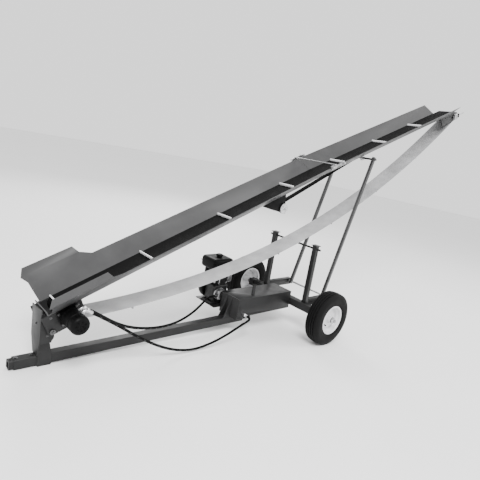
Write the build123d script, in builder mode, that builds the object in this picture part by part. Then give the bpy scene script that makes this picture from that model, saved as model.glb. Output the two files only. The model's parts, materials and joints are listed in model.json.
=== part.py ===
from build123d import *
from math import asin, atan, cos, degrees, hypot, pi, radians, sin, sqrt
import os

# Portable inclined belt conveyor for grain and seed on a two-wheel trailer.
# +X runs from the hitch towards the discharge end, +Y to the engine side, +Z up.
# The machine stands on its two tyres and on the stand collar of the tongue.

# ---- driving dimensions, mm and degrees ----
tyre_radius = 209.5
tyre_width = 118.0
rim_radius = 114.3
rim_half_width = 52.0
bead_seat_radius = 101.6
spindle_radius = 12.5
running_gap = 0.05
soft_gap = 0.3
sheet = 2.5                   # trough sheet
plate = 6.0                   # cut plate

tongue_size = 56.0
tongue_wall = 4.0
tongue_front = -2096.0
tongue_rear = -470.0
tongue_height = -102.5        # tongue axis below the wheel axis
hitch_size = 46.0
hitch_out = 24.0
hitch_length = 330.0
hitch_slide_room = 0.5
collar_front = -1983.0
collar_length = 72.0
collar_wall = 5.0

axle_size = 60.0
axle_wall = 4.0
axle_half = 392.0
wheel_reach = 69.0            # wheel centre from the end of the beam
wheel_plane = axle_half + wheel_reach
post_size = 38.0
post_x = 11.0
post_y = 219.0
post_above_rod = 24.0
carrier_radius = 8.0
carrier_half = 268.0
carrier_gap = 22.39

tank_front = -605.0
tank_half = 99.0
tank_bottom = -57.0
tank_top = 86.0
tank_wall = 4.0
filler_x = -430.0
filler_y = -53.0
filler_radius = 11.0
filler_height = 105.0

pin_x = -1936.0               # tilt pin of the conveyor on the tail stand
pin_z = 87.5
pin_radius = 8.0
incline_lower = 22.92         # against the tongue
incline_upper = 21.56
lower_length = 2300.0
pin_inset = 21.0              # pin behind the front edge of the side plates
pin_depth = 98.0              # pin below the trough floor
floor_half = 91.0
wall_half = 194.7
wall_height = 84.0
belt_half = 82.0
belt_thickness = 4.0
pulley_radius = 45.0
tail_pulley_x = 126.0
head_reach = 2190.0           # head shaft from the trough joint
shaft_radius = 12.5
cleat_pitch = 628.0
cleat_height = 18.0
cleat_thickness = 9.0

lift_y = 179.75
lift_tube = 25.0
lift_wall = 2.5
lift_foot_x = 297.0
lift_foot_z = 40.6
lift_top_x = 620.8
lift_top_z = 1247.7
lift_pin_radius = 8.0

hose_diameter = 17.0

# ---- frames: the chassis is nose-down so that the collar touches the ground ----
collar_drop = -(tongue_height - tongue_size / 2 - collar_wall)
ground_angle = degrees(
    asin(tyre_radius / hypot(collar_front, collar_drop)) - atan(collar_drop / -collar_front)
)


def tilted(origin, angle):
    return Plane(
        origin, x_dir=(cos(radians(angle)), 0, sin(radians(angle))),
        z_dir=(-sin(radians(angle)), 0, cos(radians(angle)))
    )


def spot(base, x, y, z):
    return base.from_local_coords(Vector(x, y, z))


def level_at(base, x, y, z):
    """Plane seen from above: local x along the base, local y across it."""
    return Plane(spot(base, x, y, z), x_dir=base.x_dir, z_dir=base.z_dir)


def side_at(base, x, y, z):
    """Plane seen from the near side: local x along the base, local y up."""
    return Plane(spot(base, x, y, z), x_dir=base.x_dir, z_dir=-base.y_dir)


def cross_at(base, x, y, z):
    """Plane across the base: local x towards +Y, local y up, normal along the base."""
    return Plane(spot(base, x, y, z), x_dir=base.y_dir, z_dir=base.x_dir)


def pointing(base, x, y, z, angle):
    """Plane whose normal rises from the base's own x axis by the angle."""
    along = base.x_dir * cos(radians(angle)) + base.z_dir * sin(radians(angle))
    return Plane(spot(base, x, y, z), x_dir=base.y_dir, z_dir=along)


def frames(axle_x):
    chassis_plane = tilted((axle_x, 0, tyre_radius), ground_angle)
    pin_plane = tilted(spot(chassis_plane, pin_x, 0, pin_z), ground_angle + incline_lower)
    lower_plane = level_at(pin_plane, -pin_inset, 0, pin_depth)
    upper_plane = tilted(spot(lower_plane, lower_length, 0, 0), ground_angle + incline_upper)
    return chassis_plane, lower_plane, upper_plane


def block(base, x_span, y_span, z_span, mode=Mode.ADD):
    """Rectangular block in the base's own coordinates."""
    with BuildSketch(level_at(base, sum(x_span) / 2, sum(y_span) / 2, z_span[0])) as outline:
        Rectangle(x_span[1] - x_span[0], y_span[1] - y_span[0])
    extrude(outline.sketch, amount=z_span[1] - z_span[0], mode=mode)


def bar_across(base, x, z, y_span, radius, bore=0.0, mode=Mode.ADD):
    """Round bar or tube lying across the machine."""
    with BuildSketch(side_at(base, x, y_span[1], z)) as outline:
        Circle(radius)
        if bore:
            Circle(bore, mode=Mode.SUBTRACT)
    extrude(outline.sketch, amount=y_span[1] - y_span[0], mode=mode)


def plate_across(base, points, y_span, mode=Mode.ADD):
    """Flat plate with a side outline, from one y to another."""
    with BuildSketch(side_at(base, 0, y_span[1], 0)) as outline:
        Polygon(*points, align=None)
    extrude(outline.sketch, amount=y_span[1] - y_span[0], mode=mode)


def post_at(base, x, y, z, radius, height, bore=0.0, mode=Mode.ADD):
    """Round post standing square to the base."""
    with BuildSketch(level_at(base, x, y, z)) as outline:
        Circle(radius)
        if bore:
            Circle(bore, mode=Mode.SUBTRACT)
    extrude(outline.sketch, amount=height, mode=mode)


def square_tube(plane, size, wall, length):
    """Square tube from a plane along its normal, with rounded corners."""
    with BuildSketch(plane) as outline:
        RectangleRounded(size, size, wall)
        RectangleRounded(size - 2 * wall, size - 2 * wall, wall / 2, mode=Mode.SUBTRACT)
    extrude(outline.sketch, amount=length)


def hex_head(plane, radius, height):
    with BuildSketch(plane) as outline:
        RegularPolygon(radius, 6)
    extrude(outline.sketch, amount=height)


def mirrored(y_span, side):
    """The span itself on the far side, its mirror image on the near side."""
    return y_span if side > 0 else (-y_span[1], -y_span[0])


def around(centre, radius, angle):
    return (centre[0] + radius * cos(radians(angle)), centre[1] + radius * sin(radians(angle)))


def in_chassis(base, x, z):
    """Side-view coordinates on the chassis of a point given on another base."""
    local = chassis.to_local_coords(spot(base, x, 0, z))
    return (local.X, local.Z)


takeup_screw_length = 150.0
takeup_end = head_reach + takeup_screw_length + 40.0
far_frames = frames(0)
front_end = spot(far_frames[0], tongue_front - hitch_out, 0, tongue_height - hitch_size / 2).X
top_front = spot(far_frames[0], tongue_front - hitch_out, 0, tongue_height + hitch_size / 2).X
rear_end = spot(far_frames[2], takeup_end, 0, -pulley_radius).X
chassis, lower, upper = frames(-(min(front_end, top_front) + rear_end) / 2)
near, far = -1, 1
both_sides = (near, far)
pieces = {}

# ---- tongue, hitch bar and tail stand ----
with BuildPart() as tongue:
    square_tube(
        cross_at(chassis, tongue_front, 0, tongue_height), tongue_size, tongue_wall,
        tongue_rear - tongue_front
    )
pieces["tongue"] = tongue

hitch_hole_x = tongue_front - hitch_out / 2
hitch_hole_radius = 6.5
hitch_outer = tongue_size - 2 * tongue_wall - 2 * hitch_slide_room
with BuildPart() as hitch_bar:
    square_tube(
        cross_at(chassis, tongue_front - hitch_out, 0, tongue_height), hitch_outer, 5.0, hitch_length
    )
    hole_bottom = tongue_height - hitch_outer / 2 - 1
    post_at(chassis, hitch_hole_x, 0, hole_bottom, hitch_hole_radius, hitch_outer + 2, mode=Mode.SUBTRACT)
pieces["hitch_bar"] = hitch_bar

tongue_top = tongue_height + tongue_size / 2
hitch_bolt_places = (-2082.0, -2003.0)
with BuildPart() as hitch_bolts:
    for bolt_x in hitch_bolt_places:
        hex_head(level_at(chassis, bolt_x, 0, tongue_top), 11.0, 8.0)
        post_at(chassis, bolt_x, 0, tongue_top + 8.0, 6.0, 8.0)
pieces["hitch_bolts"] = hitch_bolts

stand_front = -1990.0
stand_half = 67.0
stand_foot_half = tongue_size / 2 + collar_wall
stand_top = 205.0
stand_outline = [
    (-stand_foot_half, tongue_top + collar_wall), (-stand_half, 25), (-stand_half, 140),
    (-75, stand_top)
]
stand_outline += [
    (75, stand_top - 12), (stand_half, 140), (stand_half, 25),
    (stand_foot_half, tongue_top + collar_wall)
]
collar_size = tongue_size + 2 * collar_wall
ear_rear = pin_x + 20.0
with BuildPart() as tail_stand:
    with BuildSketch(cross_at(chassis, collar_front, 0, tongue_height)):
        Rectangle(collar_size, collar_size)
        Rectangle(tongue_size, tongue_size, mode=Mode.SUBTRACT)
    extrude(amount=collar_length)
    with BuildSketch(cross_at(chassis, stand_front, 0, 0)):
        Polygon(*stand_outline, align=None)
    extrude(amount=plate)
    for side in both_sides:
        cheek = [(stand_front + plate, 20), (ear_rear - 12, 20), (ear_rear, 40), (ear_rear, pin_z + 8)]
        cheek += [
            (pin_x + 6, pin_z + 18), (stand_front + 38, pin_z + 30), (stand_front + 34, 150),
            (stand_front + plate, 150)
        ]
        plate_across(chassis, cheek, mirrored((stand_half - plate, stand_half), side))
        foot = [
            (collar_front, tongue_top + collar_wall),
            (collar_front + collar_length, tongue_top + collar_wall)
        ]
        foot += [
            (ear_rear - 12, 20), (stand_front + plate, 20),
            (stand_front + plate, tongue_top + collar_wall)
        ]
        plate_across(chassis, foot, mirrored((stand_foot_half - plate, stand_foot_half), side))
        block(
            chassis, (stand_front + plate, ear_rear - 12),
            mirrored((stand_foot_half - plate, stand_half), side), (20 - plate, 20)
        )
    bar_across(chassis, pin_x, pin_z, (-stand_half - 1, stand_half + 1), pin_radius, mode=Mode.SUBTRACT)
pieces["tail_stand"] = tail_stand

side_plate_inner = floor_half - plate
pin_half = floor_half + 16.0
with BuildPart() as tilt_pin:
    bar_across(chassis, pin_x, pin_z, (-pin_half, pin_half), pin_radius)
    for side in both_sides:
        bar_across(
            chassis, pin_x, pin_z, mirrored((stand_half, side_plate_inner - 0.5), side),
            pin_radius + 5.0
        )
        bar_across(
            chassis, pin_x, pin_z, mirrored((floor_half + 0.5, floor_half + 9.0), side),
            pin_radius + 7.0
        )
pieces["tilt_pin"] = tilt_pin

# ---- tank, gussets and rear frame ----
with BuildPart() as tongue_gussets:
    block(chassis, (tank_front - 8, tank_front), (-tank_half, tank_half), (tongue_top, tank_top))
    block(chassis, (tank_front, tongue_rear), (-tank_half, tank_half), (tongue_top, tank_bottom))
    for side in both_sides:
        brace = [
            (tank_front - 8, tongue_top), (tank_front - 8, tank_top - 10), (tank_front - 75, tongue_top)
        ]
        plate_across(chassis, brace, mirrored((tongue_size / 2 - plate, tongue_size / 2), side))
pieces["tongue_gussets"] = tongue_gussets

tank_rear = -axle_size / 2
fitting_x = -548.0
fitting_z = -35.0
fitting_radius = 9.0
with BuildPart() as tank_shell:
    block(chassis, (tank_front, tank_rear), (-tank_half, tank_half), (tank_bottom, tank_top))
    inner_x = (tank_front + tank_wall, tank_rear - tank_wall)
    inner_y = (-tank_half + tank_wall, tank_half - tank_wall)
    block(chassis, inner_x, inner_y, (tank_bottom + tank_wall, tank_top - tank_wall), mode=Mode.SUBTRACT)
    post_at(
        chassis, filler_x, filler_y, tank_top - tank_wall, filler_radius + 2.5,
        tank_wall + filler_height
    )
    post_at(
        chassis, filler_x, filler_y, tank_top - tank_wall, filler_radius, tank_wall + filler_height,
        mode=Mode.SUBTRACT
    )
    bar_across(
        chassis, fitting_x, fitting_z, (-tank_half, -tank_half + tank_wall), fitting_radius,
        mode=Mode.SUBTRACT
    )
pieces["tank_shell"] = tank_shell

filler_cap_height = 22.0
cap_radius = 19.0
with BuildPart() as filler_cap:
    post_at(chassis, filler_x, filler_y, tank_top + filler_height + 0.3, cap_radius, filler_cap_height)
    skirt = 12.0
    post_at(
        chassis, filler_x, filler_y, tank_top + filler_height - skirt, cap_radius, skirt + 0.3,
        bore=filler_radius + 2.5 + 0.3
    )
pieces["filler_cap"] = filler_cap

fitting_reach = 44.0
with BuildPart() as tank_fitting:
    bar_across(chassis, fitting_x, fitting_z, (-tank_half - 14, -tank_half + tank_wall), fitting_radius)
    hex_head(side_at(chassis, fitting_x, -tank_half - 14, fitting_z), 14.0, 12.0)
    bar_across(
        chassis, fitting_x, fitting_z, (-tank_half - fitting_reach, -tank_half - 26),
        hose_diameter / 2 + 2.0
    )
pieces["tank_fitting"] = tank_fitting

arm_inner = lift_y + lift_tube / 2 + 8.75
arm_outer = arm_inner + 36.0
axle_inside = axle_size - 2 * axle_wall
with BuildPart() as axle_beam:
    with BuildSketch(side_at(chassis, 0, axle_half, 0)):
        RectangleRounded(axle_size, axle_size, axle_wall)
        RectangleRounded(axle_inside, axle_inside, axle_wall / 2, mode=Mode.SUBTRACT)
    extrude(amount=2 * axle_half)
pieces["axle_beam"] = axle_beam

frame_arm_bottom = 5.0
frame_arm_top = 62.0
with BuildPart() as frame_arms:
    for side in both_sides:
        block(
            chassis, (axle_size / 2, lift_foot_x + 22), mirrored((arm_inner, arm_outer), side),
            (frame_arm_bottom, frame_arm_top)
        )
        block(chassis, (axle_size / 2 + 6, lift_foot_x + 23), mirrored((arm_inner + 5, arm_outer + 1), side),
              (frame_arm_bottom + 5, frame_arm_top - 5), mode=Mode.SUBTRACT)
        block(
            chassis, (lift_foot_x - 16, lift_foot_x + 16), mirrored((arm_inner + 5, arm_outer), side),
            (frame_arm_bottom + 5, frame_arm_top - 5)
        )
    bar_across(
        chassis, lift_foot_x, lift_foot_z, (-arm_outer - 1, arm_outer + 1), lift_pin_radius,
        mode=Mode.SUBTRACT
    )
pieces["frame_arms"] = frame_arms

with BuildPart() as lift_pivot_rod:
    bar_across(chassis, lift_foot_x, lift_foot_z, (-arm_outer - 10, arm_outer + 10), lift_pin_radius)
    for side in both_sides:
        bar_across(
            chassis, lift_foot_x, lift_foot_z,
            mirrored((lift_y + lift_tube / 2 + 0.5, arm_inner), side), lift_pin_radius + 5
        )
pieces["lift_pivot_rod"] = lift_pivot_rod

# ---- places of the belt's loop, on the chassis ----
tail_centre = in_chassis(lower, tail_pulley_x, -pulley_radius)
head_centre = in_chassis(upper, head_reach, -pulley_radius)
joint_inner = in_chassis(lower, lower_length, 0)
joint_outer = in_chassis(lower, lower_length, belt_thickness)
return_low_angle = 1.9
return_high_angle = 38.2
tail_top, tail_leave = 90 + incline_lower, 270 + return_low_angle
head_top, head_leave = 90 + incline_upper, -90 + return_high_angle


def return_curve(radius):
    """Hanging strand as a parabola that leaves both pulleys along their tangents."""
    low = around(tail_centre, radius, tail_leave)
    high = around(head_centre, radius, head_leave)
    low_slope = sin(radians(return_low_angle)) / cos(radians(return_low_angle))
    high_slope = sin(radians(return_high_angle)) / cos(radians(return_high_angle))
    middle_x = (high[1] - low[1] + low_slope * low[0] - high_slope * high[0]) / (low_slope - high_slope)
    return low, (middle_x, low[1] + low_slope * (middle_x - low[0])), high


def strand_level(x):
    """Height of the strand's underside above a place along the chassis."""
    low, middle, high = return_curve(pulley_radius + belt_thickness)
    bend = low[0] - 2 * middle[0] + high[0]
    start = 2 * (middle[0] - low[0])
    share = (sqrt(start * start - 4 * bend * (low[0] - x)) - start) / (2 * bend)
    return low[1] * (1 - share) ** 2 + 2 * middle[1] * share * (1 - share) + high[1] * share ** 2


carrier_height = strand_level(post_x) - carrier_radius - carrier_gap
post_top = carrier_height + post_above_rod
cap_half = 27.0
cap_height = 5.0
with BuildPart() as belt_posts:
    for side in both_sides:
        post_wall = 3.0
        square_tube(
            level_at(chassis, post_x, side * post_y, axle_size / 2), post_size, post_wall,
            post_top - axle_size / 2
        )
        cap_span_y = (side * post_y - cap_half, side * post_y + cap_half)
        block(
            chassis, (post_x - cap_half, post_x + cap_half), cap_span_y,
            (post_top, post_top + cap_height)
        )
    bar_across(
        chassis, post_x, carrier_height, (-carrier_half, carrier_half), carrier_radius,
        mode=Mode.SUBTRACT
    )
pieces["belt_posts"] = belt_posts

with BuildPart() as carrier_rod:
    bar_across(chassis, post_x, carrier_height, (-carrier_half, carrier_half), carrier_radius)
pieces["carrier_rod"] = carrier_rod

# ---- spindles, hubs and wheels ----
spindle_end = wheel_plane + 78.0
spindle_block = 60.0
hub_half = 48.0
with BuildPart() as axle_spindles:
    for side in both_sides:
        with BuildSketch(
            side_at(chassis, 0, max(side * axle_half, -side * (spindle_block - axle_half)), 0)
        ) as root:
            RectangleRounded(axle_inside, axle_inside, axle_wall / 2)
        extrude(root.sketch, amount=spindle_block)
        bar_across(chassis, 0, 0, mirrored((axle_half, spindle_end), side), spindle_radius)
        bar_across(
            chassis, 0, 0, mirrored((axle_half, wheel_plane - hub_half - 1), side), spindle_radius + 8
        )
pieces["axle_spindles"] = axle_spindles

nut_inner = wheel_plane + hub_half + 1.0
with BuildPart() as axle_nuts:
    for side in both_sides:
        bar_across(chassis, 0, 0, mirrored((nut_inner, nut_inner + 3), side), 22.0, bore=spindle_radius)
        nut_plane = side_at(chassis, 0, side * (nut_inner + 11.5), 0)
        with BuildSketch(nut_plane) as nut:
            RegularPolygon(20.0, 6)
            Circle(spindle_radius, mode=Mode.SUBTRACT)
        extrude(nut.sketch, amount=8.5, both=True)
pieces["axle_nuts"] = axle_nuts

hub_radius = 30.0
bearing_outer = 23.5
bearing_width = 15.0
with BuildPart() as wheel_bearings:
    for side in both_sides:
        for inner in (wheel_plane - hub_half + 2, wheel_plane + hub_half - 2 - bearing_width):
            bar_across(
                chassis, 0, 0, mirrored((inner, inner + bearing_width), side),
                bearing_outer - running_gap, bore=spindle_radius
            )
pieces["wheel_bearings"] = wheel_bearings

half = tyre_width / 2
seat = bead_seat_radius + soft_gap
tyre_wall = 8.0
for side, side_name in ((near, "near"), (far, "far")):
    wheel_axis = Axis(spot(chassis, 0, 0, 0), chassis.y_dir)
    section = Plane(spot(chassis, 0, side * wheel_plane, 0), x_dir=chassis.y_dir, z_dir=chassis.x_dir)
    with BuildPart() as tyre:
        with BuildSketch(section):
            with BuildLine():
                bead = Line((-rim_half_width + 5, seat), (-rim_half_width + 5, rim_radius + 2))
                outer_left = ThreePointArc(bead @ 1, (-half, 155), (-half + 12, 196))
                crown = ThreePointArc(outer_left @ 1, (0, tyre_radius), (half - 12, 196))
                outer_right = ThreePointArc(crown @ 1, (half, 155), (rim_half_width - 5, rim_radius + 2))
                right_bead = Line(outer_right @ 1, (rim_half_width - 5, seat))
                right_seat = Line(right_bead @ 1, (rim_half_width - 16, seat))
                inner_right = ThreePointArc(right_seat @ 1, (half - tyre_wall, 155), (half - 22, 189))
                inner_crown = ThreePointArc(inner_right @ 1, (0, tyre_radius - 11), (-half + 22, 189))
                inner_left = ThreePointArc(
                    inner_crown @ 1, (-half + tyre_wall, 155), (-rim_half_width + 16, seat)
                )
                Line(inner_left @ 1, bead @ 0)
            make_face()
        revolve(axis=wheel_axis)
    pieces[f"{side_name}_tyre"] = tyre
    rim_sheet = 2.5
    edge = rim_half_width
    with BuildPart() as rim:
        with BuildSketch(section):
            outer = [
                (-edge, rim_radius), (-edge + rim_sheet, rim_radius),
                (-edge + rim_sheet, bead_seat_radius)
            ]
            outer += [
                (-30, bead_seat_radius), (-20, 86), (20, 86), (30, bead_seat_radius),
                (edge - rim_sheet, bead_seat_radius)
            ]
            outer += [
                (edge - rim_sheet, rim_radius), (edge, rim_radius), (edge, bead_seat_radius - rim_sheet)
            ]
            outer += [
                (31, bead_seat_radius - rim_sheet), (21, 83.5), (-21, 83.5),
                (-31, bead_seat_radius - rim_sheet), (-edge, bead_seat_radius - rim_sheet)
            ]
            Polygon(*outer, align=None)
        revolve(axis=wheel_axis)
        bar_across(
            chassis, 0, 0, mirrored((wheel_plane + 8, wheel_plane + 12), side), 83.7,
            bore=hub_radius - 1
        )
        bar_across(
            chassis, 0, 0, mirrored((wheel_plane - hub_half, wheel_plane + hub_half), side), hub_radius,
            bore=bearing_outer
        )
    pieces[f"{side_name}_rim"] = rim

# ---- trough ----
skirt_slope = degrees(atan(wall_height / (wall_half - floor_half)))
fall = sheet / cos(radians(skirt_slope))
inside_points = [(-wall_half, wall_height), (-floor_half, 0), (floor_half, 0), (wall_half, wall_height)]
floor_corner = floor_half + sheet * (1 - cos(radians(skirt_slope))) / sin(radians(skirt_slope))
trough_points = inside_points + [
    (wall_half, wall_height - fall), (floor_corner, -sheet), (-floor_corner, -sheet),
    (-wall_half, wall_height - fall)
]
floor_start = tail_pulley_x + 40.0
wall_start = 36.0
guard_height = 18.0
guard_drop = 20.0
wall_front = 49.0
wall_run = hypot(wall_half - floor_half, wall_height)
slope_y = (wall_half - floor_half) / wall_run
slope_z = wall_height / wall_run
flare_reach = 174.0
flare_front = 29.0
flare_rear = 374.0
flare_end = 435.0
lip_lean = 10.0
lip_rise = 46.0
lip_front = 55.0
lip_rear = 348.0
bend_y = floor_half + flare_reach * slope_y
bend_z = flare_reach * slope_z
lip_run = hypot(lip_lean, lip_rise)


def sheet_plane(y, z, rise_y, rise_z, side):
    """Plane of a sloped sheet: x along the trough, y up the sheet."""
    up = lower.y_dir * (side * rise_y) + lower.z_dir * rise_z
    return Plane(spot(lower, 0, side * y, z), x_dir=lower.x_dir, z_dir=lower.x_dir.cross(up))


with BuildPart() as trough_lower:
    with BuildSketch(cross_at(lower, wall_start, 0, 0)):
        Polygon(*trough_points, align=None)
    extrude(amount=lower_length - wall_start)
    block(
        lower, (0, floor_start), (-side_plate_inner, side_plate_inner), (-2 * sheet, 2 * sheet),
        mode=Mode.SUBTRACT
    )
    for side in both_sides:
        cut_y = mirrored((floor_corner, wall_half + 1), side)
        block(lower, (wall_start - 1, wall_front), cut_y, (sheet / 2, wall_height + 1), mode=Mode.SUBTRACT)
        flare = [(flare_front, flare_reach), (wall_front, wall_run - sheet), (flare_end, wall_run - sheet)]
        flare += [(flare_end, wall_run), (flare_rear, flare_reach)]
        with BuildSketch(sheet_plane(floor_half, 0, slope_y, slope_z, side)) as flare_outline:
            Polygon(*flare, align=None)
        extrude(flare_outline.sketch, amount=-side * sheet)
        lip = [
            (flare_front, -sheet / 2), (flare_rear, -sheet / 2), (lip_rear, lip_run),
            (lip_front, lip_run)
        ]
        with BuildSketch(
            sheet_plane(bend_y, bend_z, lip_lean / lip_run, lip_rise / lip_run, side)
        ) as lip_outline:
            Polygon(*lip, align=None)
        extrude(lip_outline.sketch, amount=-side * sheet)
    block(lower, (wall_start - plate, wall_start), (-floor_half, floor_half), (-sheet, guard_height))
    block(
        lower, (wall_start - plate, wall_start), (-side_plate_inner, side_plate_inner),
        (-sheet - guard_drop, -sheet)
    )
pieces["trough_lower"] = trough_lower

trough_end = 2082.0
section_gap = 1.0
with BuildPart() as trough_upper:
    with BuildSketch(cross_at(upper, section_gap, 0, 0)):
        Polygon(*trough_points, align=None)
    extrude(amount=trough_end)
pieces["trough_upper"] = trough_upper

plate_front = -3.0
plate_rear = 215.0
plate_low = -pin_depth - 20.0
with BuildPart() as tail_side_plates:
    for side in both_sides:
        outline = [
            (plate_front, -sheet), (plate_front, plate_low), (plate_rear - 60, plate_low),
            (plate_rear, plate_low + 50), (plate_rear, -sheet)
        ]
        plate_across(lower, outline, mirrored((side_plate_inner, floor_half), side))
    bar_across(
        lower, pin_inset, -pin_depth, (-floor_half - 1, floor_half + 1), pin_radius + running_gap,
        mode=Mode.SUBTRACT
    )
    bar_across(
        lower, tail_pulley_x, -pulley_radius, (-floor_half - 1, floor_half + 1), 20.0,
        mode=Mode.SUBTRACT
    )
pieces["tail_side_plates"] = tail_side_plates

# ---- pulleys, shafts and bearings ----
drum_radius = pulley_radius - soft_gap
drum_half = belt_half - 2.0
shaft_half = floor_half + 22.0
head_shaft_half = shaft_half + 8.0
pulley_places = (("tail", lower, tail_pulley_x, shaft_half), ("head", upper, head_reach, head_shaft_half))
for end_name, base, reach, shaft_reach in pulley_places:
    with BuildPart() as pulley:
        bar_across(base, reach, -pulley_radius, (-drum_half, drum_half), drum_radius, bore=drum_radius - 4)
        for side in both_sides:
            bar_across(
                base, reach, -pulley_radius, mirrored((drum_half - 18, drum_half - 10), side),
                drum_radius - 3, bore=shaft_radius - 1
            )
        bar_across(base, reach, -pulley_radius, (-shaft_reach, shaft_reach), shaft_radius)
    pieces[f"{end_name}_pulley"] = pulley

with BuildPart() as tail_bearings:
    for side in both_sides:
        bore = shaft_radius + running_gap
        bar_across(
            lower, tail_pulley_x, -pulley_radius, mirrored((side_plate_inner, floor_half), side), 19.9,
            bore=bore
        )
        bar_across(
            lower, tail_pulley_x, -pulley_radius, mirrored((floor_half, floor_half + 8), side), 34.0,
            bore=bore
        )
pieces["tail_bearings"] = tail_bearings

slot_room = 30.0
screw_radius = 5.5
nut_height = 10.0
head_plate_low = -pulley_radius - 42.0
with BuildPart() as head_side_plates:
    for side in both_sides:
        outline = [
            (trough_end - 190, -sheet), (trough_end - 150, head_plate_low),
            (head_reach + 62, head_plate_low)
        ]
        outline += [(head_reach + 62, -12), (head_reach + 30, -sheet)]
        plate_across(upper, outline, mirrored((side_plate_inner, floor_half), side))
        tab = mirrored((floor_half, floor_half + 26), side)
        block(upper, (head_reach + 56, head_reach + 62), tab, (-pulley_radius - 20, -pulley_radius + 20))
        with BuildSketch(
            side_at(upper, head_reach - slot_room / 2, side * (side_plate_inner + plate / 2), -pulley_radius)
        ) as slot:
            SlotCenterToCenter(slot_room, 2 * shaft_radius + 6)
        extrude(slot.sketch, amount=plate, both=True, mode=Mode.SUBTRACT)
        hex_head(
            cross_at(upper, head_reach + 62, side * (floor_half + 13), -pulley_radius), 11.0, nut_height
        )
        with BuildSketch(
            cross_at(upper, head_reach + 50, side * (floor_half + 13), -pulley_radius)
        ) as hole:
            Circle(screw_radius + running_gap)
        extrude(hole.sketch, amount=40, mode=Mode.SUBTRACT)
pieces["head_side_plates"] = head_side_plates

with BuildPart() as head_bearings:
    for side in both_sides:
        housing = mirrored((floor_half + 0.5, floor_half + 25.5), side)
        block(
            upper, (head_reach - 32, head_reach + 26), housing,
            (-pulley_radius - 30, -pulley_radius + 30)
        )
    bar_across(
        upper, head_reach, -pulley_radius, (-head_shaft_half, head_shaft_half),
        shaft_radius + running_gap, mode=Mode.SUBTRACT
    )
pieces["head_bearings"] = head_bearings

with BuildPart() as takeup_screws:
    for side in both_sides:
        with BuildSketch(
            cross_at(upper, head_reach + 26, side * (floor_half + 13), -pulley_radius)
        ) as screw:
            Circle(screw_radius)
        extrude(screw.sketch, amount=takeup_end - head_reach - 26)
pieces["takeup_screws"] = takeup_screws

# ---- belt loop with cleats ----


def loop_edge(radius, joint):
    """Carrying run and both wraps at one radius from the pulley centres."""
    tail_arc = ThreePointArc(
        around(tail_centre, radius, tail_leave),
        around(tail_centre, radius, (tail_top + tail_leave) / 2),
        around(tail_centre, radius, tail_top)
    )
    run_up = Polyline(tail_arc @ 1, joint, around(head_centre, radius, head_top))
    head_arc = ThreePointArc(
        run_up @ 1, around(head_centre, radius, (head_top + head_leave) / 2),
        around(head_centre, radius, head_leave)
    )
    return tail_arc @ 0, head_arc @ 1


with BuildPart() as conveyor_belt:
    with BuildSketch(side_at(chassis, 0, 0, 0)):
        with BuildLine():
            inner_low, inner_high = loop_edge(pulley_radius, joint_inner)
            outer_low, outer_high = loop_edge(pulley_radius + belt_thickness, joint_outer)
            Line(inner_low, outer_low)
            Line(inner_high, outer_high)
        make_face()
    extrude(amount=belt_half, both=True)
pieces["conveyor_belt"] = conveyor_belt

cleat_half = 74.0


def cleat_at(x, z, angle):
    """One cleat standing on the belt, with its foot at a side-view point."""
    foot = level_at(chassis, x, 0, z)
    with BuildSketch(foot.rotated((0, -angle, 0))) as outline:
        SlotOverall(2 * cleat_half, cleat_thickness, rotation=90)
    extrude(outline.sketch, amount=cleat_height)


with BuildPart() as belt_return:
    with BuildSketch(side_at(chassis, 0, 0, 0)):
        with BuildLine():
            strand_inner = return_curve(pulley_radius)
            strand_outer = return_curve(pulley_radius + belt_thickness)
            Bezier(*strand_inner)
            Bezier(*strand_outer)
            Line(strand_inner[0], strand_outer[0])
            Line(strand_inner[2], strand_outer[2])
        make_face()
    extrude(amount=belt_half, both=True)
pieces["belt_return"] = belt_return

first_cleat = 678.0
tail_cleat_turn = 18.0
with BuildPart() as belt_cleats:
    for count in range(6):
        along = first_cleat + count * cleat_pitch
        if along < lower_length:
            cleat_at(*in_chassis(lower, along, belt_thickness), incline_lower)
        else:
            cleat_at(*in_chassis(upper, along - lower_length, belt_thickness), incline_upper)
    cleat_at(
        *around(tail_centre, pulley_radius + belt_thickness, tail_top + tail_cleat_turn),
        incline_lower + tail_cleat_turn
    )
pieces["belt_cleats"] = belt_cleats

return_cleat_start = 0.096
return_cleat_step = 0.150
with BuildPart() as return_cleats:
    low, middle, high = strand_outer
    for count in range(6):
        t = return_cleat_start + count * return_cleat_step
        x = (1 - t) ** 2 * low[0] + 2 * t * (1 - t) * middle[0] + t ** 2 * high[0]
        z = (1 - t) ** 2 * low[1] + 2 * t * (1 - t) * middle[1] + t ** 2 * high[1]
        slope_x = (1 - t) * (middle[0] - low[0]) + t * (high[0] - middle[0])
        slope_z = (1 - t) * (middle[1] - low[1]) + t * (high[1] - middle[1])
        cleat_at(x, z, degrees(atan(slope_z / slope_x)) + 180)
pieces["return_cleats"] = return_cleats

# ---- section joint: latches and tie rod ----
latch_start = lower_length - 75.0
tie_rod_radius = 4.0
with BuildPart() as latch_bases:
    for side in both_sides:
        block(
            lower, (latch_start, latch_start + 60), mirrored((wall_half, wall_half + 14), side),
            (wall_height - 16, wall_height + 14)
        )
        block(
            upper, (35, 80), mirrored((wall_half, wall_half + 14), side),
            (wall_height - 16, wall_height + 14)
        )
    tie_height = wall_height + 14 + tie_rod_radius - 1
    bar_across(lower, latch_start + 45, tie_height, (-wall_half - 14, wall_half + 14), tie_rod_radius)
pieces["latch_bases"] = latch_bases

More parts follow.
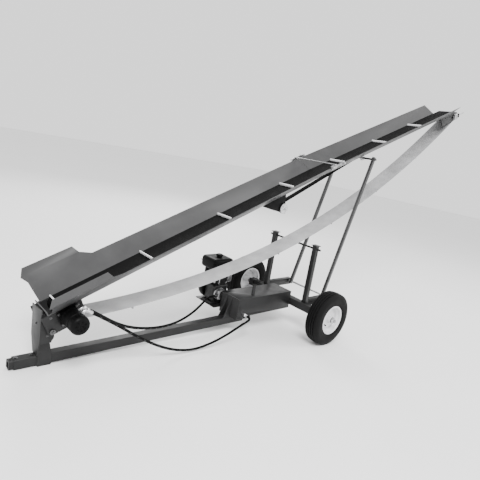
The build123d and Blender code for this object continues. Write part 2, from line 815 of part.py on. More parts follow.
latch_pivot = latch_start + 14.0
for side, side_name in ((near, "near"), (far, "far")):
    with BuildPart() as latch:
        block(
            lower, (latch_pivot - 10, latch_pivot + 128),
            mirrored((wall_half + 14.5, wall_half + 18.5), side), (wall_height - 6, wall_height + 10)
        )
        bar_across(
            lower, latch_pivot, wall_height + 2, mirrored((wall_half + 18.5, wall_half + 28), side), 7.0
        )
        block(
            lower, (latch_pivot + 112, latch_pivot + 128),
            mirrored((wall_half + 18.5, wall_half + 34), side), (wall_height - 6, wall_height + 10)
        )
    pieces[f"{side_name}_latch"] = latch

# ---- hydraulic motor ----
motor_rise = 7.0
motor_plate_drop = 3.0        # plate's top below the trough floor
motor_plate_half = 58.0
motor_plate_reach = 45.0
motor_plate_thick = 10.0
motor_radius = pulley_radius + motor_rise
motor_face = floor_half + 8.0
motor_end = 266.0
port_places = (-150.0, -190.0)
port_angle = 53.0
port_length = 36.0
hose_start = (-1775.0, 211.0)
hose_angle = -31.8
ferrule_length = 48.0
with BuildPart() as hydraulic_motor:
    block(
        lower, (tail_pulley_x - motor_plate_half, tail_pulley_x + motor_plate_half),
        (-motor_face - motor_plate_thick, -motor_face),
        (-pulley_radius - motor_plate_reach, -motor_plate_drop)
    )
    bar_across(
        lower, tail_pulley_x, -pulley_radius, (-motor_end, -motor_face - motor_plate_thick),
        motor_radius
    )
    end_edges = hydraulic_motor.edges().filter_by(GeomType.CIRCLE).sort_by(Axis.Y)[0:1]
    fillet(end_edges, motor_radius * 0.45)
    bar_across(
        lower, tail_pulley_x, -pulley_radius, (-shaft_half - 2, -motor_face), shaft_radius + 4,
        mode=Mode.SUBTRACT
    )
pieces["hydraulic_motor"] = hydraulic_motor

with BuildPart() as motor_fittings:
    for port_y in port_places:
        port_x, port_z = around(tail_centre, motor_radius - 6, port_angle)
        with BuildSketch(pointing(chassis, port_x, port_y, port_z, port_angle)) as port:
            Circle(hose_diameter / 2 + 1.0)
        extrude(port.sketch, amount=port_length)
        with BuildSketch(pointing(chassis, hose_start[0], port_y, hose_start[1], hose_angle)) as ferrule:
            Circle(hose_diameter / 2 + 2.0)
        extrude(ferrule.sketch, amount=-ferrule_length)
    bar_across(
        lower, tail_pulley_x, -pulley_radius, (-motor_end, -motor_face - motor_plate_thick),
        motor_radius, mode=Mode.SUBTRACT
    )
pieces["motor_fittings"] = motor_fittings

# ---- lift arms, carriage, winch and strap ----
lift_angle = degrees(atan((lift_top_z - 14 - lift_foot_z) / (lift_top_x - lift_foot_x)))
lift_length = hypot(lift_top_z - 14 - lift_foot_z, lift_top_x - lift_foot_x)
lift_base = tilted(spot(chassis, lift_foot_x, 0, lift_foot_z), ground_angle + lift_angle)
arm_head = 14.0
with BuildPart() as lift_arms:
    for side in both_sides:
        square_tube(cross_at(lift_base, -18, side * lift_y, 0), lift_tube, lift_wall, lift_length + 36)
        head_y = mirrored((lift_y + lift_tube / 2, lift_y + lift_tube / 2 + arm_head), side)
        bar_across(lift_base, lift_length, 0, head_y, lift_pin_radius)
    bar_across(
        lift_base, 0, 0, (-lift_y - 20, lift_y + 20), lift_pin_radius + running_gap, mode=Mode.SUBTRACT
    )
pieces["lift_arms"] = lift_arms

carriage_x, carriage_z = lift_top_x, lift_top_z - 14
carriage_radius = 8.0
carriage_half = lift_y - lift_tube / 2 - 0.5
with BuildPart() as carriage_shaft:
    bar_across(chassis, carriage_x, carriage_z, (-carriage_half, carriage_half), carriage_radius)
pieces["carriage_shaft"] = carriage_shaft

shaft_below = -upper.to_local_coords(spot(chassis, carriage_x, 0, carriage_z)).Z
roller_radius = shaft_below - sheet - soft_gap
with BuildPart() as carriage_rollers:
    for side in both_sides:
        bar_across(
            chassis, carriage_x, carriage_z, mirrored((62, 80), side), roller_radius,
            bore=carriage_radius + running_gap
        )
pieces["carriage_rollers"] = carriage_rollers

winch_x = 1830.0
winch_z = -130.0
winch_half = 46.0
with BuildPart() as winch_frame:
    block(lower, (1700, 1900), (-winch_half, winch_half), (-sheet - 8, -sheet))
    for side in both_sides:
        outline = [
            (1700, -sheet - 8), (1655, -50), (winch_x - 30, winch_z - 22), (winch_x + 22, winch_z - 18),
            (winch_x + 26, winch_z + 30), (1880, -sheet - 8)
        ]
        plate_across(lower, outline, mirrored((winch_half - 4, winch_half), side))
    bar_across(
        lower, winch_x, winch_z, (-winch_half - 1, winch_half + 1), 8.0 + running_gap,
        mode=Mode.SUBTRACT
    )
pieces["winch_frame"] = winch_frame

drum_core = 24.0
with BuildPart() as winch_drum:
    bar_across(lower, winch_x, winch_z, (-winch_half - 34, winch_half + 10), 8.0)
    bar_across(lower, winch_x, winch_z, (-winch_half + 5, winch_half - 5), drum_core)
    bar_across(lower, winch_x, winch_z, (-winch_half - 10, -winch_half - 2), 42.0)
    for side in both_sides:
        bar_across(lower, winch_x, winch_z, mirrored((winch_half - 9, winch_half - 6), side), 38.0)
pieces["winch_drum"] = winch_drum

strap_half = 25.0
strap_thick = 3.0
strap_lead = 8.0              # strap leaves the drum ahead of its axis
strap_clearance = 3.0
strap_start = in_chassis(lower, winch_x + strap_lead, winch_z + drum_core + strap_clearance)
hook_x, hook_z = carriage_x - 30.0, carriage_z - 26.0
strap_angle = degrees(atan((hook_z - strap_start[1]) / (hook_x - strap_start[0])))
strap_base = tilted(spot(chassis, strap_start[0], 0, strap_start[1]), ground_angle + strap_angle)
strap_length = hypot(hook_x - strap_start[0], hook_z - strap_start[1])
with BuildPart() as winch_strap:
    block(strap_base, (0, strap_length), (-strap_half, strap_half), (0, strap_thick))
pieces["winch_strap"] = winch_strap

hook_half = 12.0
with BuildPart() as strap_hook:
    eye = strap_base.to_local_coords(spot(chassis, carriage_x, 0, carriage_z))
    hook_plate = [
        (strap_length, 0), (strap_length, strap_thick), (eye.X - 12, eye.Z + 12),
        (eye.X + 12, eye.Z + 12)
    ]
    hook_plate += [(eye.X + 14, eye.Z - 10), (eye.X, eye.Z - 14)]
    plate_across(strap_base, hook_plate, (-hook_half, hook_half))
    bar_across(
        chassis, carriage_x, carriage_z, (-hook_half - 1, hook_half + 1), carriage_radius,
        mode=Mode.SUBTRACT
    )
pieces["strap_hook"] = strap_hook

# ---- engine and pump ----
deck_z = -40.0
deck_front = -672.0
deck_rear = -455.0
deck_far = 330.0
engine_x = -580.0
with BuildPart() as engine_deck:
    block(chassis, (deck_front, deck_rear), (tank_half, deck_far), (deck_z - plate, deck_z))
    block(chassis, (tank_front, deck_rear), (tank_half, tank_half + plate), (deck_z, 20))
pieces["engine_deck"] = engine_deck

crank_y = (150.0, 300.0)
lever_x = engine_x - 30.0
lever_z = 127.0
lever_pin_radius = 3.0
with BuildPart() as engine_block:
    block(chassis, (engine_x - 85, engine_x + 85), (crank_y[0], crank_y[1] - 40), (deck_z, deck_z + 18))
    block(chassis, (engine_x - 70, engine_x + 70), (crank_y[0], crank_y[1] - 40), (deck_z + 18, 110))
    block(chassis, (engine_x - 40, engine_x + 48), (crank_y[0] + 12, crank_y[1] - 52), (110, 215))
    bar_across(chassis, lever_x, lever_z, (crank_y[0] - 4, crank_y[0] + 12), lever_pin_radius)
    for fin in range(7):
        fin_z = 118 + fin * 14
        block(
            chassis, (engine_x - 52, engine_x + 60), (crank_y[0] + 2, crank_y[1] - 42),
            (fin_z, fin_z + 4)
        )
pieces["engine_block"] = engine_block

with BuildPart() as engine_shroud:
    with BuildSketch(side_at(chassis, engine_x, crank_y[1] + 30, 60)):
        Circle(96.0)
    extrude(amount=70)
    block(chassis, (engine_x - 66, engine_x + 66), (crank_y[1] - 40, crank_y[1] + 10), (60, 225))
pieces["engine_shroud"] = engine_shroud

fuel_cap_height = 16.0
with BuildPart() as fuel_tank:
    block(chassis, (engine_x - 105, engine_x + 90), (crank_y[0] - 10, crank_y[1] + 20), (225, 318))
    fillet(fuel_tank.edges().filter_by(Axis(spot(chassis, 0, 0, 0), chassis.z_dir)), 28.0)
    fillet(fuel_tank.faces().sort_by(Axis.Z)[-1].edges(), 20.0)
    post_at(chassis, engine_x - 10, 215, 316, 20.0, 10)
pieces["fuel_tank"] = fuel_tank
with BuildPart() as fuel_cap:
    post_at(chassis, engine_x - 10, 215, 326.5, 26.0, fuel_cap_height)
pieces["fuel_cap"] = fuel_cap

with BuildPart() as silencer:
    block(chassis, (engine_x + 60, engine_x + 112), (crank_y[0] + 10, crank_y[1] - 60), (120, 200))
    fillet(silencer.edges(), 12.0)
pieces["silencer"] = silencer

with BuildPart() as air_cleaner:
    with BuildSketch(cross_at(chassis, engine_x - 112, 185, 165)):
        Circle(38.0)
    extrude(amount=44)
    with BuildSketch(cross_at(chassis, engine_x - 68, 190, 165)):
        Circle(14.0)
    extrude(amount=16)
pieces["air_cleaner"] = air_cleaner

pump_z = 45.0
pump_x = engine_x - 20.0
pump_port_reach = 62.0
pump_port_out = 28.0
pump_port_drop = 5.0
pump_port = (pump_x - pump_port_reach, crank_y[0] - pump_port_out, pump_z - pump_port_drop)
with BuildPart() as gear_pump:
    bar_across(chassis, pump_x, pump_z, (crank_y[0] - 14, crank_y[0]), 48.0)
    block(
        chassis, (pump_x - 32, pump_x + 32), (crank_y[0] - 42, crank_y[0] - 14),
        (pump_z - 40, pump_z + 36)
    )
    with BuildSketch(cross_at(chassis, *pump_port)) as port:
        Circle(hose_diameter / 2 + 2.0)
    extrude(port.sketch, amount=30)
pieces["gear_pump"] = gear_pump

with BuildPart() as throttle_lever:
    with BuildSketch(side_at(chassis, lever_x, crank_y[0] + 0.5, lever_z)):
        Circle(9.0)
        with Locations((0, 22)):
            Rectangle(7, 44)
        Circle(lever_pin_radius + running_gap, mode=Mode.SUBTRACT)
    extrude(amount=3)
pieces["throttle_lever"] = throttle_lever

# ---- hoses: points of each route on the chassis, from the motor ----
first_run_length = 75.0
first_run = (first_run_length * cos(radians(hose_angle)), first_run_length * sin(radians(hose_angle)))
start_x, start_z = hose_start
port_end_x, port_y, port_z = pump_port
last_run_length = 60.0
upper_route = [
    (start_x, port_places[0], start_z), (start_x + first_run[0], port_places[0], start_z + first_run[1])
]
upper_route += [
    (-1620, -140, 108), (-1515, -121, 50), (-1380, -92, 2), (-1230, -55, -32), (-1075, -12, -44)
]
upper_route += [
    (-935, 32, -26), (-826, 74, 5), (port_end_x - last_run_length, port_y, port_z),
    (port_end_x, port_y, port_z)
]
fitting_end = -tank_half - fitting_reach
lower_route = [
    (start_x, port_places[1], start_z), (start_x + first_run[0], port_places[1], start_z + first_run[1])
]
lower_route += [
    (-1600, -193, 98), (-1480, -197, 12), (-1340, -203, -72), (-1200, -208, -130), (-1060, -210, -154)
]
lower_route += [
    (-920, -210, -138), (-800, -208, -108), (-710, -206, -76), (-655, -205, -55), (-612, -203, -44)
]
lower_route += [(-580, -196, -38), (fitting_x - 11, -181, fitting_z), (fitting_x, -162, fitting_z)]
lower_route += [(fitting_x, fitting_end, fitting_z)]


def hose(route):
    """Tube along straight runs and tangent arcs as large as the runs allow."""
    points = [spot(chassis, *place) for place in route]
    radii = []
    for before, corner, after in zip(points, points[1:], points[2:]):
        turn = radians((corner - before).get_angle(after - corner))
        shorter = min((corner - before).length, (after - corner).length)
        radii.append(0.45 * shorter / (sin(turn / 2) / cos(turn / 2)))
    with BuildPart() as tube:
        with BuildLine() as path:
            FilletPolyline(*points, radius=radii)
        with BuildSketch(Plane(points[0], z_dir=points[1] - points[0])):
            Circle(hose_diameter / 2)
        sweep(path=path.line)
    length = sum(edge.length for edge in path.edges())
    print("hose radii", [round(radius) for radius in radii], "length", round(length))
    print(
        "hose volume against section times length",
        round(tube.part.volume / (pi * hose_diameter ** 2 / 4 * length), 4)
    )
    return tube


pieces["hose_upper"] = hose(upper_route)
pieces["hose_lower"] = hose(lower_route)

os.makedirs("parts", exist_ok=True)
for name, piece in pieces.items():
    piece.part.label = name
    export_step(piece.part, f"parts/{name}.step")
print(len(pieces), "nodes")
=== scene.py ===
import json
import math
import bmesh
import bpy
from mathutils import Matrix, Vector

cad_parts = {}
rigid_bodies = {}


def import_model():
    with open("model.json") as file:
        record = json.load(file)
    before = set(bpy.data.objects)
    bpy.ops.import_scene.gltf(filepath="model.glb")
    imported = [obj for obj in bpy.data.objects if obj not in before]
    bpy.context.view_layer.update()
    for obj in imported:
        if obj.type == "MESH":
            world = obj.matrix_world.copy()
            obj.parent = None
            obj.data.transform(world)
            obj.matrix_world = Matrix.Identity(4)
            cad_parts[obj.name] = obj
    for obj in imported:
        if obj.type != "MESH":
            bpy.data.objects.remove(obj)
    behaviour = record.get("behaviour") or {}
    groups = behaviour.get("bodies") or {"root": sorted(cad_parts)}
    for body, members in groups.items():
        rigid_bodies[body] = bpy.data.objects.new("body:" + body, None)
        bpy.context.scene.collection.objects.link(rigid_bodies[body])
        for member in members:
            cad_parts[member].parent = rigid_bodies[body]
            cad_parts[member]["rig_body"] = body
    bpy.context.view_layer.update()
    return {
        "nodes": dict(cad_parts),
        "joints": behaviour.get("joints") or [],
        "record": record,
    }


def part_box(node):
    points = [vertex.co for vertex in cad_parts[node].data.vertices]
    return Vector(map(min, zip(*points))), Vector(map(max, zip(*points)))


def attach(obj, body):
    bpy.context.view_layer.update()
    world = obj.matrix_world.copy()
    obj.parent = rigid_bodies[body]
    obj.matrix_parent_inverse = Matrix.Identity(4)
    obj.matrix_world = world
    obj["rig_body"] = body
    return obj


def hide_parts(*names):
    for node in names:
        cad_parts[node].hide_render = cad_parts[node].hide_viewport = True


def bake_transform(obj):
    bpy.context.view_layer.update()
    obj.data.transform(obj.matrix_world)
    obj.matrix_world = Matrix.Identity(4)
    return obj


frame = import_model()
joints = {joint["name"]: joint for joint in frame["joints"]}
mounts = {mount["name"]: mount for mount in frame["record"]["mounts"]}
print("frame loaded:", len(frame["nodes"]), "nodes")


# places: chassis, lower trough and upper trough axes

across = Vector((0, 1, 0))
chassisUp = Vector(mounts["hitch_pin_hole"]["axis"])
chassisAlong = across.cross(chassisUp)
axleCentre = (Vector(joints["near_wheel_spin"]["pos_m"]) + Vector(joints["far_wheel_spin"]["pos_m"])) / 2
pinCentre = Vector(joints["trough_tilt"]["pos_m"])
upperAlong = Vector(joints["carriage_slide"]["axis"])
upperUp = upperAlong.cross(across)
trough = {"pinInset": 0.021, "pinDepth": 0.098, "lowerLength": 2.3, "bend": 1.36, "floorHalf": 0.091,
          "wallHalf": 0.1947, "wallHeight": 0.084}
turnDown = Matrix.Rotation(math.radians(-trough["bend"]), 3, "Y")
lowerAlong = turnDown @ upperAlong
lowerUp = turnDown @ upperUp
lowerOrigin = pinCentre - lowerAlong * trough["pinInset"] + lowerUp * trough["pinDepth"]
upperOrigin = lowerOrigin + lowerAlong * trough["lowerLength"]


def onChassis(x, y, z):
    return axleCentre + chassisAlong * x + across * y + chassisUp * z


def onLower(x, y, z):
    return lowerOrigin + lowerAlong * x + across * y + lowerUp * z


def onUpper(x, y, z):
    return upperOrigin + upperAlong * x + across * y + upperUp * z


def middle(node):
    low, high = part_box(node)
    return (Vector(low) + Vector(high)) / 2


# shader groups and materials

def addNode(tree, kind, **values):
    node = tree.nodes.new(kind)
    for key, value in values.items():
        setattr(node, key, value)
    return node


def setInputs(node, values):
    for key, value in values.items():
        node.inputs[key].default_value = value


def makeGroup(name, inputs, outputs):
    group = bpy.data.node_groups.new(name, "ShaderNodeTree")
    for label, kind, value in inputs:
        socket = group.interface.new_socket(label, in_out="INPUT", socket_type=kind)
        socket.default_value = value
    for label, kind in outputs:
        group.interface.new_socket(label, in_out="OUTPUT", socket_type=kind)
    return group, addNode(group, "NodeGroupInput"), addNode(group, "NodeGroupOutput")


def buildWear():
    # two sizes of noise: soft colour drift, and small worn or dusty marks
    inputs = [("Colour", "NodeSocketColor", (0.2, 0.2, 0.2, 1)),
              ("Mark Colour", "NodeSocketColor", (0.5, 0.5, 0.5, 1)),
              ("Marks", "NodeSocketFloat", 0.2), ("Drift", "NodeSocketFloat", 0.15),
              ("Scale", "NodeSocketFloat", 12.0),
              ("Roughness", "NodeSocketFloat", 0.4), ("Spread", "NodeSocketFloat", 0.12)]
    outputs = [("Colour", "NodeSocketColor"), ("Roughness", "NodeSocketFloat"),
               ("Height", "NodeSocketFloat")]
    group, source, sink = makeGroup("surfaceWear", inputs, outputs)
    link = group.links.new
    coords = addNode(group, "ShaderNodeTexCoord")
    drift = addNode(group, "ShaderNodeTexNoise")
    drift.inputs["Detail"].default_value = 4.0
    small = addNode(group, "ShaderNodeTexNoise")
    setInputs(small, {"Detail": 8.0, "Roughness": 0.7})
    bigger = addNode(group, "ShaderNodeMath", operation="MULTIPLY")
    bigger.inputs[1].default_value = 9.0
    link(coords.outputs["Object"], drift.inputs["Vector"])
    link(coords.outputs["Object"], small.inputs["Vector"])
    link(source.outputs["Scale"], drift.inputs["Scale"])
    link(source.outputs["Scale"], bigger.inputs[0])
    link(bigger.outputs[0], small.inputs["Scale"])
    level = addNode(group, "ShaderNodeMapRange")
    setInputs(level, {"From Min": 0.3, "From Max": 0.7, "To Min": -1.0})
    link(drift.outputs["Fac"], level.inputs["Value"])
    swing = addNode(group, "ShaderNodeMath", operation="MULTIPLY")
    link(level.outputs["Result"], swing.inputs[0])
    link(source.outputs["Drift"], swing.inputs[1])
    gain = addNode(group, "ShaderNodeMath", operation="ADD")
    gain.inputs[1].default_value = 1.0
    link(swing.outputs[0], gain.inputs[0])
    tint = addNode(group, "ShaderNodeVectorMath", operation="SCALE")
    link(source.outputs["Colour"], tint.inputs[0])
    link(gain.outputs[0], tint.inputs["Scale"])
    speck = addNode(group, "ShaderNodeMapRange")
    setInputs(speck, {"From Min": 0.6, "From Max": 0.75})
    link(small.outputs["Fac"], speck.inputs["Value"])
    amount = addNode(group, "ShaderNodeMath", operation="MULTIPLY")
    link(speck.outputs["Result"], amount.inputs[0])
    link(source.outputs["Marks"], amount.inputs[1])
    mix = addNode(group, "ShaderNodeMix", data_type="RGBA")
    link(amount.outputs[0], mix.inputs["Factor"])
    link(tint.outputs["Vector"], mix.inputs["A"])
    link(source.outputs["Mark Colour"], mix.inputs["B"])
    link(mix.outputs["Result"], sink.inputs["Colour"])
    spread = addNode(group, "ShaderNodeMath", operation="MULTIPLY_ADD")
    link(level.outputs["Result"], spread.inputs[0])
    link(source.outputs["Spread"], spread.inputs[1])
    link(source.outputs["Roughness"], spread.inputs[2])
    link(spread.outputs[0], sink.inputs["Roughness"])
    link(small.outputs["Fac"], sink.inputs["Height"])
    return group


def buildWeave():
    # crossing threads in Object coordinates, for belt carcass and webbing
    inputs = [("Threads", "NodeSocketFloat", 400.0), ("Turn", "NodeSocketFloat", 0.0)]
    outputs = [("Mask", "NodeSocketFloat")]
    group, source, sink = makeGroup("threadWeave", inputs, outputs)
    link = group.links.new
    coords = addNode(group, "ShaderNodeTexCoord")
    turn = addNode(group, "ShaderNodeCombineXYZ")
    link(source.outputs["Turn"], turn.inputs["Y"])
    mapping = addNode(group, "ShaderNodeMapping")
    link(coords.outputs["Object"], mapping.inputs["Vector"])
    link(turn.outputs[0], mapping.inputs["Rotation"])
    waves = []
    for direction in ("X", "Y"):
        wave = addNode(group, "ShaderNodeTexWave", bands_direction=direction)
        wave.inputs["Distortion"].default_value = 0.6
        link(mapping.outputs[0], wave.inputs["Vector"])
        link(source.outputs["Threads"], wave.inputs["Scale"])
        waves.append(wave)
    cross = addNode(group, "ShaderNodeMath", operation="MULTIPLY")
    link(waves[0].outputs["Fac"], cross.inputs[0])
    link(waves[1].outputs["Fac"], cross.inputs[1])
    link(cross.outputs[0], sink.inputs["Mask"])
    return group


wearGroup = buildWear()
weaveGroup = buildWeave()


def finish(name, colour, markColour, roughness, metallic=0.0, marks=0.2, drift=0.12, scale=10.0, bump=0.15,
           depth=0.0004, spread=0.1, specular=0.5, coat=0.0, threads=0.0, threadDepth=0.0004, turn=0.0):
    material = bpy.data.materials.new(name)
    material.use_nodes = True
    tree = material.node_tree
    link = tree.links.new
    shader = tree.nodes["Principled BSDF"]
    setInputs(shader, {"Metallic": metallic, "Specular IOR Level": specular, "Coat Weight": coat,
                       "Coat Roughness": 0.25})
    wear = addNode(tree, "ShaderNodeGroup", node_tree=wearGroup)
    setInputs(wear, {"Colour": (*colour, 1), "Mark Colour": (*markColour, 1), "Marks": marks,
                     "Drift": drift, "Scale": scale, "Roughness": roughness, "Spread": spread})
    link(wear.outputs["Colour"], shader.inputs["Base Color"])
    link(wear.outputs["Roughness"], shader.inputs["Roughness"])
    relief = addNode(tree, "ShaderNodeBump")
    setInputs(relief, {"Strength": bump, "Distance": depth})
    link(wear.outputs["Height"], relief.inputs["Height"])
    if threads:
        weave = addNode(tree, "ShaderNodeGroup", node_tree=weaveGroup)
        setInputs(weave, {"Threads": threads, "Turn": turn})
        fabric = addNode(tree, "ShaderNodeBump")
        setInputs(fabric, {"Strength": 0.6, "Distance": threadDepth})
        link(weave.outputs["Mask"], fabric.inputs["Height"])
        link(relief.outputs["Normal"], fabric.inputs["Normal"])
        link(fabric.outputs["Normal"], shader.inputs["Normal"])
    else:
        link(relief.outputs["Normal"], shader.inputs["Normal"])
    return material


def grey(value):
    return (value, value, value * 1.015)


troughPaint = finish("troughPaint", grey(0.05), grey(0.12), 0.42, marks=0.22, drift=0.16, scale=5.0,
                     specular=0.25)
framePaint = finish("framePaint", grey(0.014), grey(0.045), 0.45, marks=0.3, drift=0.25, scale=7.0,
                    specular=0.2)
beltTop = finish("beltTop", grey(0.004), grey(0.02), 0.75, specular=0.05, marks=0.35, drift=0.25, scale=9.0,
                 threads=160.0,
                 threadDepth=0.0008, turn=math.radians(24))
beltUnder = finish("beltUnder", grey(0.3), grey(0.12), 0.62, marks=0.55, drift=0.22, scale=8.0,
                   threads=160.0,
                   threadDepth=0.0006, specular=0.3)
cleatRubber = finish("cleatRubber", grey(0.72), grey(0.4), 0.5, marks=0.3, drift=0.1, scale=30.0)
tyreRubber = finish("tyreRubber", grey(0.004), grey(0.02), 0.62, specular=0.08, marks=0.4, drift=0.3,
                    scale=16.0, bump=0.3)
rimPaint = finish("rimPaint", grey(0.6), grey(0.2), 0.34, marks=0.3, drift=0.06, scale=18.0, coat=0.3)
zincPlate = finish("zincPlate", grey(0.62), grey(0.35), 0.34, metallic=1.0, marks=0.4, drift=0.18,
                   scale=60.0)
bareSteel = finish("bareSteel", grey(0.36), grey(0.14), 0.38, metallic=1.0, marks=0.5, drift=0.25,
                   scale=30.0)
boltSteel = finish("boltSteel", grey(0.1), grey(0.3), 0.36, metallic=1.0, marks=0.5, drift=0.3, scale=80.0)
armSteel = finish("armSteel", grey(0.05), grey(0.12), 0.38, metallic=0.35, marks=0.3, drift=0.2, scale=12.0,
                  specular=0.3)
castIron = finish("castIron", grey(0.003), grey(0.015), 0.45, specular=0.06, marks=0.4, drift=0.3,
                  scale=40.0, bump=0.5, depth=0.0008)
enginePaint = finish("enginePaint", grey(0.003), grey(0.02), 0.4, specular=0.06, marks=0.3, drift=0.3,
                     scale=30.0)
engineCasting = finish("engineCasting", grey(0.03), grey(0.12), 0.45, metallic=0.5, marks=0.5, drift=0.3,
                       scale=45.0,
                       bump=0.5, depth=0.0008, specular=0.15)
castAlloy = finish("castAlloy", grey(0.3), grey(0.1), 0.42, metallic=1.0, marks=0.4, drift=0.2, scale=60.0,
                   bump=0.5,
                   depth=0.0006)
blackPlastic = finish("blackPlastic", grey(0.003), grey(0.02), 0.45, specular=0.06, marks=0.3, drift=0.2,
                      scale=60.0, bump=0.3)
hoseRubber = finish("hoseRubber", grey(0.003), grey(0.012), 0.5, specular=0.05, marks=0.35, drift=0.2,
                    scale=60.0, bump=0.3)
layLine = finish("layLine", grey(0.16), grey(0.05), 0.5, marks=0.5, drift=0.2, scale=80.0)
strapWeave = finish("strapWeave", grey(0.003), grey(0.015), 0.8, specular=0.04, marks=0.3, drift=0.2,
                    scale=40.0, threads=260.0,
                    turn=math.radians(26))
print("materials made")


# mesh helpers

def addObject(name, data, material, body, *replaced):
    piece = bpy.data.objects.new(name, data)
    bpy.context.collection.objects.link(piece)
    if material is not None:
        data.materials.clear()
        data.materials.append(material)
    if body:
        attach(piece, body)
    if replaced:
        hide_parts(*replaced)
    return piece


def fromBmesh(name, shape, smooth=True):
    bmesh.ops.recalc_face_normals(shape, faces=shape.faces)
    data = bpy.data.meshes.new(name)
    shape.to_mesh(data)
    shape.free()
    data.shade_smooth() if smooth else data.shade_flat()
    return data


def sharpen(data, degrees=35.0):
    # smooth shading, broken at edges sharper than the angle
    shape = bmesh.new()
    shape.from_mesh(data)
    for edge in shape.edges:
        edge.smooth = edge.calc_face_angle(math.pi) < math.radians(degrees)
    shape.to_mesh(data)
    shape.free()
    return data


def addShape(name, shape, crease, material, body, *replaced):
    # a bmesh shape as a piece, creased where its faces turn by more than the angle
    return addObject(name, sharpen(fromBmesh(name, shape), crease), material, body, *replaced)


def baked(piece):
    # the piece's modifiers turned into plain mesh
    bpy.context.view_layer.update()
    depsgraph = bpy.context.evaluated_depsgraph_get()
    data = bpy.data.meshes.new_from_object(piece.evaluated_get(depsgraph))
    piece.modifiers.clear()
    piece.data = data
    return piece


def joinParts(parts):
    # several bmesh shapes in one mesh
    whole = bmesh.new()
    for part in parts:
        spare = bpy.data.meshes.new("spare")
        bmesh.ops.recalc_face_normals(part, faces=part.faces)
        part.to_mesh(spare)
        part.free()
        whole.from_mesh(spare)
        bpy.data.meshes.remove(spare)
    return whole


def basis(alongX, alongY, alongZ, origin):
    rows = Matrix((alongX, alongY, alongZ)).transposed().to_4x4()
    return Matrix.Translation(origin) @ rows


def lathe(profile, centre, axis, segments=96, closed=True, shift=None):
    # profile of (radius, offset along the axis), turned round it
    axis = Vector(axis).normalized()
    side = axis.orthogonal().normalized()
    other = axis.cross(side)
    shape = bmesh.new()
    rings = []
    for step in range(segments):
        angle = 2 * math.pi * step / segments
        out = side * math.cos(angle) + other * math.sin(angle)
        ring = []
        for index, (radius, offset) in enumerate(profile):
            moved = offset + (shift(index, angle) if shift else 0.0)
            ring.append(shape.verts.new(Vector(centre) + out * radius + axis * moved))
        rings.append(ring)
    count = len(profile)
    last = count if closed else count - 1
    for step in range(segments):
        one, two = rings[step], rings[(step + 1) % segments]
        for index in range(last):
            nextIndex = (index + 1) % count
            shape.faces.new((one[index], one[nextIndex], two[nextIndex], two[index]))
    return shape


def roundBox(centre, size, bevel, axes=None, segments=3):
    shape = bmesh.new()
    bmesh.ops.create_cube(shape, size=1.0)
    bmesh.ops.scale(shape, vec=size, verts=shape.verts)
    bmesh.ops.bevel(shape, geom=shape.edges, offset=bevel, segments=segments, profile=0.5, affect="EDGES")
    along, side, up = axes or (chassisAlong, across, chassisUp)
    bmesh.ops.transform(shape, matrix=basis(along, side, up, centre), verts=shape.verts)
    return shape


def capped(profile, centre, axis, segments=64):
    # solid turned piece whose profile starts and ends on the axis
    shape = lathe(profile, centre, axis, segments, closed=False)
    bmesh.ops.remove_doubles(shape, verts=shape.verts, dist=1e-6)
    return shape


def tube(points, radius, sides=20):
    # round bar through points, for short pipes and rods
    shape = bmesh.new()
    rings = []
    lastSide = None
    for index, point in enumerate(points):
        before = points[max(index - 1, 0)]
        after = points[min(index + 1, len(points) - 1)]
        along = (Vector(after) - Vector(before)).normalized()
        side = lastSide - along * lastSide.dot(along) if lastSide else along.orthogonal()
        side.normalize()
        lastSide = side
        other = along.cross(side)
        ring = []
        for step in range(sides):
            angle = 2 * math.pi * step / sides
            out = side * math.cos(angle) + other * math.sin(angle)
            ring.append(shape.verts.new(Vector(point) + out * radius))
        rings.append(ring)
    for one, two in zip(rings, rings[1:]):
        for step in range(sides):
            shape.faces.new((one[step], one[(step + 1) % sides], two[(step + 1) % sides], two[step]))
    shape.faces.new(rings[0])
    shape.faces.new(rings[-1])
    return shape


def arcPoints(start, corner, end, steps=10):
    # smooth bend between two points round a corner
    start, corner, end = Vector(start), Vector(corner), Vector(end)
    shares = [i / steps for i in range(steps + 1)]
    return [start * (1 - t) ** 2 + corner * 2 * t * (1 - t) + end * t * t for t in shares]


# Geometry Nodes: repeated pieces

def startTree(name, inputs):
    tree = bpy.data.node_groups.new(name, "GeometryNodeTree")
    tree.interface.new_socket("Geometry", in_out="INPUT", socket_type="NodeSocketGeometry")
    for label, kind, value in inputs:
        socket = tree.interface.new_socket(label, in_out="INPUT", socket_type=kind)
        if value is not None:
            socket.default_value = value
    tree.interface.new_socket("Geometry", in_out="OUTPUT", socket_type="NodeSocketGeometry")
    return tree, addNode(tree, "NodeGroupInput"), addNode(tree, "NodeGroupOutput")


def endTree(tree, source, sink, geometry):
    link = tree.links.new
    real = addNode(tree, "GeometryNodeRealizeInstances")
    paint = addNode(tree, "GeometryNodeSetMaterial")
    link(geometry, real.inputs["Geometry"])
    link(real.outputs["Geometry"], paint.inputs["Geometry"])
    link(source.outputs["Material"], paint.inputs["Material"])
    link(paint.outputs["Geometry"], sink.inputs["Geometry"])


def runTree(piece, tree, values):
    modifier = piece.modifiers.new("repeat", "NODES")
    modifier.node_group = tree
    for item in tree.interface.items_tree:
        if item.item_type == "SOCKET" and item.in_out == "INPUT" and item.name in values:
            modifier[item.identifier] = values[item.name]
    return baked(piece)


